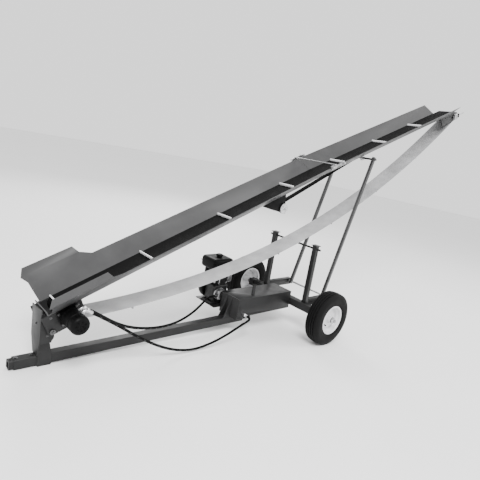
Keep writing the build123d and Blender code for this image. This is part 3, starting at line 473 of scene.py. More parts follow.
def buildBoltTree():
    inputs = [("Head Radius", "NodeSocketFloat", 0.008), ("Head Height", "NodeSocketFloat", 0.006),
              ("Material", "NodeSocketMaterial", None)]
    tree, source, sink = startTree("hexBolts", inputs)
    link = tree.links.new
    join = addNode(tree, "GeometryNodeJoinGeometry")
    stack = [(24, 1.35, 1.35, 0.0, 0.22), (6, 1.0, 1.0, 0.22, 0.85), (6, 1.0, 0.82, 0.85, 1.0),
             (20, 0.5, 0.42, 1.0, 1.3)]
    for sides, low, high, start, end in stack:
        cone = addNode(tree, "GeometryNodeMeshCone", fill_type="NGON")
        cone.inputs["Vertices"].default_value = sides
        for label, factor in (("Radius Bottom", low), ("Radius Top", high)):
            size = addNode(tree, "ShaderNodeMath", operation="MULTIPLY")
            size.inputs[1].default_value = factor
            link(source.outputs["Head Radius"], size.inputs[0])
            link(size.outputs[0], cone.inputs[label])
        depth = addNode(tree, "ShaderNodeMath", operation="MULTIPLY")
        depth.inputs[1].default_value = end - start
        link(source.outputs["Head Height"], depth.inputs[0])
        link(depth.outputs[0], cone.inputs["Depth"])
        lift = addNode(tree, "ShaderNodeMath", operation="MULTIPLY")
        lift.inputs[1].default_value = start
        link(source.outputs["Head Height"], lift.inputs[0])
        offset = addNode(tree, "ShaderNodeCombineXYZ")
        link(lift.outputs[0], offset.inputs["Z"])
        move = addNode(tree, "GeometryNodeTransform")
        link(cone.outputs["Mesh"], move.inputs["Geometry"])
        link(offset.outputs[0], move.inputs["Translation"])
        link(move.outputs["Geometry"], join.inputs["Geometry"])
    facing = addNode(tree, "GeometryNodeInputNamedAttribute", data_type="FLOAT_VECTOR")
    facing.inputs["Name"].default_value = "facing"
    align = addNode(tree, "FunctionNodeAlignRotationToVector", axis="Z")
    link(facing.outputs["Attribute"], align.inputs["Vector"])
    place = addNode(tree, "GeometryNodeInstanceOnPoints")
    link(source.outputs["Geometry"], place.inputs["Points"])
    link(join.outputs["Geometry"], place.inputs["Instance"])
    link(align.outputs["Rotation"], place.inputs["Rotation"])
    endTree(tree, source, sink, place.outputs["Instances"])
    return tree


def buildRowTree():
    inputs = [("Count", "NodeSocketInt", 5), ("Step", "NodeSocketVector", (0, 0, 0.01)),
              ("Material", "NodeSocketMaterial", None)]
    tree, source, sink = startTree("evenRow", inputs)
    link = tree.links.new
    row = addNode(tree, "GeometryNodeMeshLine")
    link(source.outputs["Count"], row.inputs["Count"])
    link(source.outputs["Step"], row.inputs["Offset"])
    place = addNode(tree, "GeometryNodeInstanceOnPoints")
    link(row.outputs["Mesh"], place.inputs["Points"])
    link(source.outputs["Geometry"], place.inputs["Instance"])
    endTree(tree, source, sink, place.outputs["Instances"])
    return tree


def buildDashTree():
    inputs = [("Spacing", "NodeSocketFloat", 0.06), ("Offset", "NodeSocketFloat", 0.0085),
              ("Dash", "NodeSocketFloat", 0.03),
              ("Width", "NodeSocketFloat", 0.003), ("Material", "NodeSocketMaterial", None)]
    tree, source, sink = startTree("layLineDashes", inputs)
    link = tree.links.new
    sample = addNode(tree, "GeometryNodeCurveToPoints", mode="LENGTH")
    link(source.outputs["Geometry"], sample.inputs["Curve"])
    link(source.outputs["Spacing"], sample.inputs["Length"])
    block = addNode(tree, "GeometryNodeMeshCube")
    size = addNode(tree, "ShaderNodeCombineXYZ")
    link(source.outputs["Width"], size.inputs["X"])
    link(source.outputs["Width"], size.inputs["Y"])
    link(source.outputs["Dash"], size.inputs["Z"])
    link(size.outputs[0], block.inputs["Size"])
    place = addNode(tree, "GeometryNodeInstanceOnPoints")
    link(sample.outputs["Points"], place.inputs["Points"])
    link(sample.outputs["Rotation"], place.inputs["Rotation"])
    link(block.outputs["Mesh"], place.inputs["Instance"])
    shift = addNode(tree, "GeometryNodeTranslateInstances")
    reach = addNode(tree, "ShaderNodeCombineXYZ")
    link(source.outputs["Offset"], reach.inputs["X"])
    link(reach.outputs[0], shift.inputs["Translation"])
    link(place.outputs["Instances"], shift.inputs["Instances"])
    endTree(tree, source, sink, shift.outputs["Instances"])
    return tree


boltTree = buildBoltTree()
rowTree = buildRowTree()
dashTree = buildDashTree()


def bolts(name, body, places, radius=0.009, height=0.007, material=None):
    # hex heads with washers, each at a point and facing a direction
    data = bpy.data.meshes.new(name)
    data.from_pydata([tuple(point) for point, direction in places], [], [])
    facing = data.attributes.new("facing", "FLOAT_VECTOR", "POINT")
    for index, (point, direction) in enumerate(places):
        facing.data[index].vector = direction
    piece = addObject(name, data, None, None)
    runTree(piece, boltTree, {"Head Radius": radius, "Head Height": height,
                              "Material": material or zincPlate})
    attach(piece, body)
    return piece


def row(name, body, shape, count, step, material):
    piece = addObject(name, fromBmesh(name, shape), material, None)
    runTree(piece, rowTree, {"Count": count, "Step": tuple(step), "Material": material})
    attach(piece, body)
    return piece
print("helpers ready")


# camera, floor and light

cameraPlace = {"lens": 32.47, "sensor": 36.0, "spot": (-2.7412, -2.1869, 1.2034),
               "look": (0.6807, 0.6987, -0.2202),
               "up": (0.0334, 0.2706, 0.9621)}


def turned(vector):
    return chassisAlong * vector[0] + across * vector[1] + chassisUp * vector[2]


look = turned(cameraPlace["look"]).normalized()
right = look.cross(turned(cameraPlace["up"])).normalized()
cameraData = bpy.data.cameras.new("studioCamera")
cameraData.sensor_width = cameraPlace["sensor"]
cameraData.lens = cameraPlace["lens"]
cameraData.clip_end = 100.0
camera = bpy.data.objects.new("studioCamera", cameraData)
camera.matrix_world = basis(right, right.cross(look), -look, onChassis(*cameraPlace["spot"]))
bpy.context.collection.objects.link(camera)
bpy.context.scene.camera = camera

floorPaint = finish("floorPaint", (0.86, 0.86, 0.86), (0.8, 0.8, 0.8), 0.75, marks=0.05, drift=0.01,
                    scale=0.6, bump=0.0)
floorShape = bmesh.new()
bmesh.ops.create_grid(floorShape, x_segments=4, y_segments=4, size=30.0)
floor = addObject("studioFloor", fromBmesh("studioFloor", floorShape, smooth=False), floorPaint, None)


def softLight(name, place, target, size, power):
    data = bpy.data.lights.new(name, "AREA")
    data.shape = "DISK"
    data.size = size
    data.energy = power
    lamp = bpy.data.objects.new(name, data)
    lamp.location = place
    lamp.rotation_euler = (Vector(target) - Vector(place)).to_track_quat("-Z", "Y").to_euler()
    bpy.context.collection.objects.link(lamp)


world = bpy.data.worlds.new("studioWorld")
world.use_nodes = True
world.node_tree.nodes["Background"].inputs["Color"].default_value = (1.0, 1.0, 1.0, 1)
world.node_tree.nodes["Background"].inputs["Strength"].default_value = 1.5
bpy.context.scene.world = world
softLight("keyLight", (-3.5, -3.5, 5.5), (0, 0, 0.8), 3.0, 620.0)
softLight("fillLight", (4.5, -4.0, 3.5), (0.5, 0, 0.8), 3.0, 200.0)
softLight("backLight", (1.5, 5.0, 4.5), (0, 0, 0.8), 3.0, 260.0)
print("camera, floor and light set")


# hydraulic hoses

hose = {"diameter": 0.017, "dashSpacing": 0.055, "dashLength": 0.012, "dashWidth": 0.0009}
pumpHose = [(-1.775, -0.15, 0.211), (-1.7113, -0.15, 0.1715), (-1.62, -0.14, 0.108), (-1.515, -0.121, 0.05),
            (-1.38, -0.092, 0.002), (-1.23, -0.055, -0.032), (-1.075, -0.012, -0.044),
            (-0.935, 0.032, -0.026),
            (-0.826, 0.074, 0.005), (-0.722, 0.122, 0.04), (-0.662, 0.122, 0.04)]
tankHose = [(-1.775, -0.19, 0.211), (-1.7113, -0.19, 0.1715), (-1.6, -0.193, 0.098), (-1.48, -0.197, 0.012),
            (-1.34, -0.203, -0.072), (-1.2, -0.208, -0.13), (-1.06, -0.21, -0.154), (-0.92, -0.21, -0.138),
            (-0.8, -0.208, -0.108), (-0.71, -0.206, -0.076), (-0.655, -0.205, -0.055),
            (-0.612, -0.203, -0.044),
            (-0.58, -0.196, -0.038), (-0.559, -0.181, -0.035), (-0.548, -0.162, -0.035),
            (-0.548, -0.143, -0.035)]


def nurbsLine(name, points, bevel):
    data = bpy.data.curves.new(name, "CURVE")
    data.dimensions = "3D"
    data.resolution_u = 16
    data.bevel_depth = bevel
    data.bevel_resolution = 6
    data.use_fill_caps = True
    spline = data.splines.new("NURBS")
    spline.points.add(len(points) - 1)
    for point, place in zip(spline.points, points):
        point.co = (*onChassis(*place), 1.0)
    spline.order_u = 3
    spline.use_endpoint_u = True
    piece = bpy.data.objects.new(name, data)
    bpy.context.collection.objects.link(piece)
    return piece


def meshOf(piece):
    bpy.context.view_layer.update()
    return bpy.data.meshes.new_from_object(piece.evaluated_get(bpy.context.evaluated_depsgraph_get()))


def makeHose(name, node, points):
    line = nurbsLine(name + "Line", points, 0.0)
    path = [vertex.co.copy() for vertex in meshOf(line).vertices]
    dashes = bpy.data.objects.new(name + "Dashes", line.data.copy())
    bpy.context.collection.objects.link(dashes)
    modifier = dashes.modifiers.new("repeat", "NODES")
    modifier.node_group = dashTree
    values = {"Spacing": hose["dashSpacing"], "Offset": hose["diameter"] / 2, "Dash": hose["dashLength"],
              "Width": hose["dashWidth"], "Material": layLine}
    for item in dashTree.interface.items_tree:
        if item.item_type == "SOCKET" and item.name in values:
            modifier[item.identifier] = values[item.name]
    dashData = meshOf(dashes)
    bpy.data.objects.remove(dashes)
    line.data.bevel_depth = hose["diameter"] / 2
    tubeData = meshOf(line)
    bpy.data.objects.remove(line)
    tubeData.shade_smooth()
    piece = addObject(name, tubeData, hoseRubber, None, node)
    marks = addObject(name + "Dashes", dashData, None, None)
    for part in (piece, marks):
        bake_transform(part)


makeHose("pumpHose", "hose_upper", pumpHose)
makeHose("tankHose", "hose_lower", tankHose)


# carried-over frame nodes with softened edges

def softened(node, material, width):
    # a merged copy of a CAD node, its flat faces joined again and its edges rounded
    source = frame["nodes"][node]
    shape = bmesh.new()
    shape.from_mesh(source.data)
    bmesh.ops.remove_doubles(shape, verts=shape.verts, dist=2e-6)
    bmesh.ops.dissolve_limit(shape, angle_limit=math.radians(1.0), verts=shape.verts, edges=shape.edges)
    name = node + "Body"
    data = bpy.data.meshes.new(name)
    shape.to_mesh(data)
    shape.free()
    data.transform(source.matrix_world)
    data.shade_smooth()
    piece = addObject(name, data, material, None)
    bevel = piece.modifiers.new("edges", "BEVEL")
    bevel.width = width
    bevel.segments = 2
    bevel.limit_method = "ANGLE"
    bevel.angle_limit = math.radians(40)
    bevel.harden_normals = True
    bevel.use_clamp_overlap = True
    baked(piece)
    piece.data.materials.clear()
    piece.data.materials.append(material)
    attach(piece, source["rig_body"])
    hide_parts(node)
    return piece


paints = {"tongue": framePaint, "tail_stand": framePaint, "tongue_gussets": framePaint,
          "tank_shell": framePaint,
          "axle_beam": framePaint, "frame_arms": framePaint, "belt_posts": framePaint,
          "engine_deck": framePaint,
          "hitch_bar": framePaint, "trough_lower": troughPaint, "trough_upper": troughPaint,
          "tail_side_plates": framePaint, "head_side_plates": framePaint, "lift_arms": armSteel,
          "latch_bases": bareSteel, "winch_frame": enginePaint, "strap_hook": enginePaint,
          "near_latch": bareSteel,
          "far_latch": bareSteel, "head_bearings": bareSteel, "tilt_pin": boltSteel,
          "carrier_rod": framePaint,
          "lift_pivot_rod": bareSteel, "carriage_shaft": castIron, "axle_spindles": bareSteel,
          "axle_nuts": zincPlate,
          "takeup_screws": zincPlate, "tail_bearings": castIron, "throttle_lever": zincPlate}
edgeWidth = {"trough_lower": 0.0004, "trough_upper": 0.0004, "tank_shell": 0.003, "tongue": 0.0008,
             "axle_beam": 0.0008, "lift_arms": 0.0006, "hitch_bar": 0.0008, "engine_deck": 0.001,
             "tilt_pin": 0.0008,
             "axle_spindles": 0.0008, "takeup_screws": 0.0004, "carrier_rod": 0.0015, "head_bearings": 0.004}
for node, paint in paints.items():
    softened(node, paint, edgeWidth.get(node, 0.0012))
for node, paint in {"wheel_bearings": bareSteel, "tail_pulley": bareSteel, "head_pulley": bareSteel,
                    "conveyor_belt": beltTop, "carriage_rollers": bareSteel}.items():
    data = frame["nodes"][node].data
    data.materials.clear()
    data.materials.append(paint)
print("frame nodes finished")


# wheels

wheel = {"tyreRadius": 0.2095, "tyreHalf": 0.059, "rimHalf": 0.052, "rimRadius": 0.1143, "seat": 0.1016,
         "hubHalf": 0.048, "grooves": (-0.030, -0.0105, 0.0105, 0.030),
         "grooveHalf": 0.0024, "grooveDepth": 0.0055, "zigzag": 0.0016, "teeth": 46}


def crownRadius(offset):
    # tread crown: a gentle arc across the tyre
    return wheel["tyreRadius"] - 0.0005 - 0.009 * (offset / wheel["tyreHalf"]) ** 2


def tyreProfile():
    half = wheel["tyreHalf"]
    points = [(wheel["seat"] + 0.0008, -wheel["rimHalf"] + 0.006),
              (wheel["rimRadius"] + 0.003, -wheel["rimHalf"] + 0.005)]
    for t in [i / 12 for i in range(1, 12)]:
        angle = math.pi * (0.5 + 0.5 * (1 - t))
        radius = wheel["rimRadius"] + 0.003 + (0.196 - wheel["rimRadius"] - 0.003) * t
        bulge = half - 0.0008 - 0.007 * (2 * t - 1) ** 2
        rib = 0.0012 if 0.18 < t < 0.3 or 0.62 < t < 0.7 else 0.0
        points.append((radius, -(min(bulge + rib, half - 0.0002))))
    edges = []
    for groove in wheel["grooves"]:
        for side, depth in ((-1.25, 0), (-0.85, 1), (0.85, 1), (1.25, 0)):
            edges.append((groove + side * wheel["grooveHalf"], depth))
    points.append((0.1985, -0.0475))
    for offset, depth in [(-0.0445, 0)] + edges + [(0.0445, 0)]:
        points.append((crownRadius(offset) - depth * wheel["grooveDepth"], offset))
    points.append((0.1985, 0.0475))
    outer = points[:]
    for radius, offset in reversed(points[:13]):
        outer.append((radius, -offset))
    inner = [(radius, offset * 0.82) for radius,
             offset in [(0.1025, 0.036), (0.15, 0.058), (0.185, 0.045), (0.194, 0.0),
                                                          (0.185, -0.045), (0.15, -0.058), (0.1025, -0.036)]]
    return outer + inner


def makeWheel(side, sideName):
    centre = axleCentre + across * side * (Vector(joints["far_wheel_spin"]["pos_m"]) - axleCentre).length
    profile = tyreProfile()
    grooveRange = [i for i, (radius, offset) in enumerate(profile) if abs(offset) < 0.036 and radius > 0.198]

    def zigzag(index, angle):
        if index not in grooveRange:
            return 0.0
        phase = (angle * wheel["teeth"] / (2 * math.pi)) % 1.0
        return wheel["zigzag"] * (4 * abs(phase - 0.5) - 1)

    tyre = lathe(profile, centre, across, segments=184, shift=zigzag)
    data = sharpen(fromBmesh(sideName + "Tyre", tyre), 32)
    addObject(sideName + "Tyre", data, tyreRubber, sideName + "_wheel", sideName + "_tyre")
    seat, edge, sheet = wheel["seat"], wheel["rimHalf"], 0.0025
    # pressed rim: flanges, bead seats, well and a dished disc that faces outwards
    barrel = [(wheel["rimRadius"] - 0.001, -edge), (wheel["rimRadius"], -edge + 0.0015),
              (wheel["rimRadius"] - 0.001, -edge + 0.003),
              (seat + 0.004, -edge + 0.003), (seat, -edge + 0.007), (seat, -0.034), (0.0905, -0.022),
              (0.0875, -0.017),
              (0.0875, 0.017), (0.0905, 0.022), (seat, 0.034), (seat, edge - 0.007),
              (seat + 0.004, edge - 0.003),
              (wheel["rimRadius"] - 0.001, edge - 0.003), (wheel["rimRadius"], edge - 0.0015),
              (wheel["rimRadius"] - 0.001, edge),
              (seat + 0.002, edge), (seat - sheet, edge - 0.006), (seat - sheet, 0.035), (0.0885, 0.0245),
              (0.085, 0.018), (0.085, -0.018), (0.0885, -0.0245), (seat - sheet, -0.035),
              (seat - sheet, -edge + 0.006),
              (seat + 0.002, -edge)]
    face = [(0.0855, 0.012), (0.079, 0.0125), (0.074, 0.0155), (0.066, 0.019), (0.056, 0.0195),
            (0.048, 0.0175),
            (0.041, 0.0175), (0.035, 0.021), (0.0302, 0.024), (0.0302, 0.0205), (0.035, 0.0175),
            (0.041, 0.0145),
            (0.048, 0.0145), (0.056, 0.0165), (0.066, 0.016), (0.074, 0.0125), (0.079, 0.0095),
            (0.0855, 0.009)]
    hubTube = [(0.0238, -wheel["hubHalf"]), (0.0285, -wheel["hubHalf"]), (0.03, -wheel["hubHalf"] + 0.0015),
               (0.03, wheel["hubHalf"] - 0.0015), (0.0285, wheel["hubHalf"]), (0.0238, wheel["hubHalf"])]
    outwards = across * side
    parts = [lathe(shape, centre, outwards, 96) for shape in (barrel, face, hubTube)]
    data = sharpen(fromBmesh(sideName + "Rim", joinParts(parts)), 40)
    addObject(sideName + "Rim", data, rimPaint, sideName + "_wheel", sideName + "_rim")
    stemSpot = centre - chassisAlong * 0.062 - chassisUp * 0.035 + outwards * 0.015
    stemProfile = [(0, 0.0), (0.0075, 0.0), (0.0075, 0.003), (0.0045, 0.006), (0.0042, 0.02), (0.005, 0.021),
                   (0.005, 0.03), (0.0042, 0.031), (0, 0.031)]
    stem = capped(stemProfile, stemSpot, outwards, 20)
    addObject(sideName + "Valve", fromBmesh(sideName + "Valve", stem), blackPlastic, sideName + "_wheel")


makeWheel(-1, "near")
makeWheel(1, "far")
for side, sideName in ((-1, "near"), (1, "far")):
    low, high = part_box(sideName + "_rim")
    spot = axleCentre + across * side * ((high - low).y / 2 + abs((Vector(low) + Vector(high)).y / 2) - 0.004)
    cover = [(0.0135, 0.0), (0.0228, 0.0), (0.0228, 0.0025), (0.0215, 0.004), (0.016, 0.004),
             (0.0135, 0.003)]
    addObject(sideName + "DustSeal", fromBmesh(sideName + "DustSeal",
                                               lathe(cover, spot, across * side, 48)), castIron, "chassis")
print("wheels made")


# return strand of the belt

strand = {"half": 0.082, "thick": 0.004, "steps": 96, "cleatHalf": 0.074, "cleatHigh": 0.018,
          "cleatWide": 0.009,
          "first": 0.096, "step": 0.15, "count": 6, "lowSlope": 1.9, "highSlope": 38.2, "pulley": 0.045}
tailCentre = Vector(joints["tail_pulley_spin"]["pos_m"])
headCentre = Vector(joints["head_pulley_spin"]["pos_m"])


def rimPoint(centre, radius, degrees):
    angle = math.radians(degrees)
    return centre + chassisAlong * radius * math.cos(angle) + chassisUp * radius * math.sin(angle)


def strandEnds(radius):
    low = rimPoint(tailCentre, radius, 270 + strand["lowSlope"])
    high = rimPoint(headCentre, radius, -90 + strand["highSlope"])
    lowRun = turned((math.cos(math.radians(strand["lowSlope"])), 0,
                     math.sin(math.radians(strand["lowSlope"]))))
    highRun = turned((math.cos(math.radians(strand["highSlope"])), 0,
                      math.sin(math.radians(strand["highSlope"]))))
    gap = high - low
    # where the two tangents meet
    square = lowRun.cross(highRun).y
    reach = gap.cross(highRun).y / square
    return low, low + lowRun * reach, high


def strandPoint(radius, t):
    low, corner, high = strandEnds(radius)
    return low * (1 - t) ** 2 + corner * 2 * t * (1 - t) + high * t * t


def strandPart(name, first, last):
    shape = bmesh.new()
    rows = []
    steps = strand["steps"]
    for index in range(steps + 1):
        t = first + (last - first) * index / steps
        top = strandPoint(strand["pulley"], t)
        under = strandPoint(strand["pulley"] + strand["thick"], t)
        ring = [top + across * y for y in (-strand["half"], -0.04, 0.0, 0.04, strand["half"])]
        ring += [under + across * y for y in (strand["half"], 0.04, 0.0, -0.04, -strand["half"])]
        rows.append([shape.verts.new(point) for point in ring])
    for one, two in zip(rows, rows[1:]):
        for step in range(10):
            shape.faces.new((one[step], one[(step + 1) % 10], two[(step + 1) % 10], two[step]))
    shape.faces.new(rows[0])
    shape.faces.new(rows[-1])
    parts = [shape]
    for count in range(strand["count"]):
        t = strand["first"] + count * strand["step"]
        if first <= t < last:
            foot = strandPoint(strand["pulley"] + strand["thick"], t)
            along = (strandPoint(strand["pulley"], t + 0.01) - strandPoint(strand["pulley"],
                                                                           t - 0.01)).normalized()
            down = across.cross(along) * (1 if across.cross(along).z < 0 else -1)
            parts.append(cleatShape(foot, along, down))
    data = sharpen(fromBmesh(name, joinParts(parts)), 50)
    piece = addObject(name, data, beltUnder, None)
    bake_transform(piece)
    return piece


def cleatShape(foot, along, up):
    size = (strand["cleatWide"], 2 * strand["cleatHalf"], strand["cleatHigh"])
    return roundBox(Vector(foot) + up * size[2] / 2, size, 0.0035, (along, along.cross(up) * -1, up), 3)


rodSpot = middle("carrier_rod")
rodShare = 0.45
for step in range(40):
    point = strandPoint(strand["pulley"], rodShare)
    rodShare += 0.2 * (rodSpot.x - point.x) / 4.0
tailStrand = strandPart("tailStrand", 0.0, rodShare)
headStrand = strandPart("headStrand", rodShare, 1.0)
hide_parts("belt_return", "return_cleats")

# cleats on the carrying run
cleats = {"first": 0.678, "pitch": 0.628, "count": 6, "tailTurn": 18.0}
shapes = []
for count in range(cleats["count"]):
    reach = cleats["first"] + count * cleats["pitch"]
    if reach < trough["lowerLength"]:
        shapes.append(cleatShape(onLower(reach, 0, strand["thick"]), lowerAlong, lowerUp))
    else:
        shapes.append(cleatShape(onUpper(reach - trough["lowerLength"], 0, strand["thick"]), upperAlong,
                                 upperUp))
lift = Matrix.Rotation(math.radians(-cleats["tailTurn"]), 3, "Y")
tailAlong, tailUp = lift @ lowerAlong, lift @ lowerUp
shapes.append(cleatShape(tailCentre + tailUp * (strand["pulley"] + strand["thick"]), tailAlong, tailUp))
addShape("carryingCleats", joinParts(shapes), 50, cleatRubber, "conveyor", "belt_cleats")
print("belt made")


# winch strap

webbing = {"half": 0.025, "thick": 0.003, "steps": 60}
winchCentre = Vector(joints["winch_turn"]["pos_m"])
strapLow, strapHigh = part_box("winch_strap")
strapAngle = math.atan2(strapHigh.z - strapLow.z, strapHigh.x - strapLow.x)
strapAlong = Vector((math.cos(strapAngle), 0, math.sin(strapAngle)))
strapUp = strapAlong.cross(across)
strapLength = math.hypot(strapHigh.x - strapLow.x, strapHigh.z - strapLow.z)
strapCentre = (strapLow + strapHigh) / 2
strapCentre.y = 0
shape = bmesh.new()
rows = []
for index in range(webbing["steps"] + 1):
    spot = strapCentre + strapAlong * strapLength * (index / webbing["steps"] - 0.5) * 0.998
    ring = []
    for side, up in ((-1, -0.3), (-1, 0.3), (-0.96, 0.5), (0.96, 0.5), (1, 0.3), (1, -0.3), (0.96, -0.5),
                     (-0.96, -0.5)):
        ring.append(shape.verts.new(spot + across * side * webbing["half"] + strapUp * up * webbing["thick"]))
    rows.append(ring)
for one, two in zip(rows, rows[1:]):
    for step in range(8):
        shape.faces.new((one[step], one[(step + 1) % 8], two[(step + 1) % 8], two[step]))
shape.faces.new(rows[0])
shape.faces.new(rows[-1])
strap = addObject("winchStrap", fromBmesh("winchStrap", shape), strapWeave, None)
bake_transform(strap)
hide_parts("winch_strap")

# drum with flanges, wound webbing and a toothed ratchet wheel
drum = {"ratchet": 0.042, "teeth": 16}
parts = [capped([(0, -0.08), (0.0075, -0.08), (0.008, -0.0795), (0.008, 0.0555), (0.0075, 0.056),
                 (0, 0.056)], winchCentre, across, 32)]
for side in (-1, 1):
    flange = [(0.008, side * 0.037), (0.037, side * 0.037), (0.038, side * 0.038), (0.037, side * 0.04),
              (0.008, side * 0.04)]
    parts.append(lathe(flange, winchCentre, across, 48))
addShape("winchFlanges", joinParts(parts), 40, zincPlate, "winch_drum", "winch_drum")
wound = [(0.008, -0.036), (0.0205, -0.036), (0.0238, -0.0345), (0.024, 0.0), (0.0238, 0.0345),
         (0.0205, 0.036), (0.008, 0.036)]
addObject("woundStrap", fromBmesh("woundStrap", lathe(wound, winchCentre, across, 48)), strapWeave,
          "winch_drum")
gear = bmesh.new()
ring = []
for tooth in range(drum["teeth"]):
    for share, radius in ((0.0, 0.0365), (0.12, drum["ratchet"]), (0.3, drum["ratchet"]), (0.95, 0.0365)):
        angle = 2 * math.pi * (tooth + share) / drum["teeth"]
        ring.append(winchCentre + Vector((math.cos(angle), 0, math.sin(angle))) * radius)
for y in (-0.0555, -0.0485):
    gear.faces.new([gear.verts.new(point + across * y) for point in ring])
gear.verts.ensure_lookup_table()
count = len(ring)
for step in range(count):
    gear.faces.new((gear.verts[step], gear.verts[(step + 1) % count],
                    gear.verts[count + (step + 1) % count], gear.verts[count + step]))
addShape("winchRatchet", gear, 30, zincPlate, "winch_drum")
print("winch made")


# hydraulic motor and fittings

motor = {"radius": 0.0515, "groove": 0.0495, "end": 0.266, "face": 0.099, "flange": 0.01, "dome": 0.024,
         "ports": (-0.15, -0.19), "portAngle": 53.0, "hoseAngle": -31.8, "hoseStart": (-1.775, 0.211),
         "elbowReach": 0.0477}
barrel = motor["end"] - motor["face"] - motor["flange"]
wall, groove, dome = motor["radius"], motor["groove"], motor["dome"]
profile = [(0, 0.0), (wall - 0.0015, 0.0), (wall, 0.002), (wall, 0.03), (groove, 0.032), (groove, 0.036),
           (wall, 0.038),
           (wall, barrel - 0.056), (groove, barrel - 0.054), (groove, barrel - 0.05), (wall, barrel - 0.048)]
for step in range(9):
    angle = math.pi / 2 * step / 8
    profile.append((wall - dome * (1 - math.cos(angle)), barrel - dome + dome * math.sin(angle)))
profile += [(0.012, barrel), (0.01, barrel - 0.003), (0, barrel - 0.003)]
motorStart = Vector((tailCentre.x, -motor["face"] - motor["flange"], tailCentre.z))
body = capped(profile, motorStart, -across, 72)
plate = roundBox(Vector((tailCentre.x, -motor["face"] - motor["flange"] / 2, tailCentre.z - 0.00125)),
                 (0.114, motor["flange"], 0.0865), 0.004, (lowerAlong, across, lowerUp))
addShape("motorBody", joinParts([body, plate]), 35, castIron, "conveyor", "hydraulic_motor")
flangeSpots = [Vector((tailCentre.x, -motor["face"] - motor["flange"],
                       tailCentre.z)) + lowerAlong * x + lowerUp * z
               for x in (-0.047, 0.047) for z in (-0.034, 0.032)]
bolts("motorBolts", "conveyor", [(spot, -across) for spot in flangeSpots], 0.006, 0.006, boltSteel)
endRing = []
for step in range(7):
    angle = 2 * math.pi * step / 7
    out = lowerAlong * math.cos(angle) + lowerUp * math.sin(angle)
    endRing.append((motorStart - across * (barrel - 0.0005) + out * 0.024, -across))
bolts("motorEndBolts", "conveyor", endRing, 0.0055, 0.004, enginePaint)


def crimped(start, along, length, radius):
    # crimped ferrule on a hose end
    profile = [(0, 0.0), (radius * 0.92, 0.0)]
    rings = 5
    for ring in range(rings):
        base = length * (0.08 + 0.8 * ring / rings)
        profile += [(radius * 0.9, base), (radius, base + 0.0015), (radius, base + length * 0.11),
                    (radius * 0.9, base + length * 0.12)]
    profile += [(radius * 0.92, length * 0.95), (radius * 0.84, length), (0, length)]
    return capped(profile, start, along, 32)


portAngle, hoseAngle = math.radians(motor["portAngle"]), math.radians(motor["hoseAngle"])
portAlong = chassisAlong * math.cos(portAngle) + chassisUp * math.sin(portAngle)
hoseAlong = chassisAlong * math.cos(hoseAngle) + chassisUp * math.sin(hoseAngle)
shapes = []
for port in motor["ports"]:
    mouth = onChassis(motor["hoseStart"][0], port, motor["hoseStart"][1])
    corner = mouth - hoseAlong * motor["elbowReach"]
    foot = corner - portAlong * 0.026
    shapes.append(capped([(0, 0), (0.0125, 0), (0.0125, 0.012), (0.011, 0.0135), (0, 0.0135)], foot,
                         portAlong, 6))
    shapes.append(tube(arcPoints(foot + portAlong * 0.006, corner, corner + hoseAlong * 0.018), 0.0085, 20))
    shapes.append(capped([(0, 0), (0.0115, 0), (0.0115, 0.01), (0.0105, 0.011), (0, 0.011)],
                         corner + hoseAlong * 0.009, hoseAlong, 6))
    shapes.append(crimped(mouth - hoseAlong * 0.028, hoseAlong, 0.028, 0.0105))
addShape("motorElbows", joinParts(shapes), 35, zincPlate, "conveyor", "motor_fittings")

fittingLow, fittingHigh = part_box("tank_fitting")
fittingSpot = (Vector(fittingLow) + Vector(fittingHigh)) / 2
fittingSpot.y = fittingHigh.y
shapes = [capped([(0, 0), (0.009, 0), (0.009, 0.018), (0, 0.018)], fittingSpot, -across, 32),
          capped([(0, 0), (0.0135, 0), (0.0135, 0.011), (0.012, 0.0125), (0, 0.0125)],
                 fittingSpot - across * 0.0178, -across, 6),
          crimped(fittingSpot - across * 0.03, -across, 0.018, 0.0105)]
addShape("tankElbow", joinParts(shapes), 35, zincPlate, "chassis", "tank_fitting")
print("hydraulics made")


# engine, pump and caps

engine = {"x": -0.58, "fins": 9, "finStep": 0.0105}
parts = [roundBox(onChassis(engine["x"], 0.205, -0.031), (0.17, 0.11, 0.018), 0.004),
         roundBox(onChassis(engine["x"], 0.205, 0.0435), (0.14, 0.108, 0.131), 0.014),
         roundBox(onChassis(engine["x"] + 0.004, 0.205, 0.16), (0.086, 0.084, 0.108), 0.008),
         roundBox(onChassis(engine["x"] - 0.002, 0.1575, 0.03), (0.1, 0.012, 0.09), 0.005)]
parts.append(tube([onChassis(engine["x"] - 0.03, y, 0.127) for y in (0.1465, 0.165)], 0.0029, 16))
addShape("engineBlock", joinParts(parts), 40, engineCasting, "chassis", "engine_block")
fin = roundBox(onChassis(engine["x"] + 0.004, 0.205, 0.113), (0.11, 0.102, 0.0035), 0.0015, segments=2)
row("coolingFins", "chassis", fin, engine["fins"], chassisUp * engine["finStep"], engineCasting)

shroudSpot = onChassis(engine["x"], 0.26, 0.06)
profile = [(0, 0.0), (0.088, 0.0), (0.094, 0.004), (0.0955, 0.012), (0.0955, 0.05), (0.09, 0.06),
           (0.078, 0.064),
           (0.062, 0.0645), (0.058, 0.068), (0.03, 0.0695), (0, 0.0695)]
cover = capped(profile, shroudSpot, across, 72)
cowl = roundBox(onChassis(engine["x"], 0.285, 0.1425), (0.13, 0.048, 0.164), 0.015)
addShape("engineShroud", joinParts([cover, cowl]), 40, enginePaint, "chassis", "engine_shroud")
slot = roundBox(onChassis(engine["x"] - 0.036, 0.3255, 0.06), (0.005, 0.006, 0.05), 0.0015, segments=2)
row("starterSlots", "chassis", slot, 9, chassisAlong * 0.009, blackPlastic)

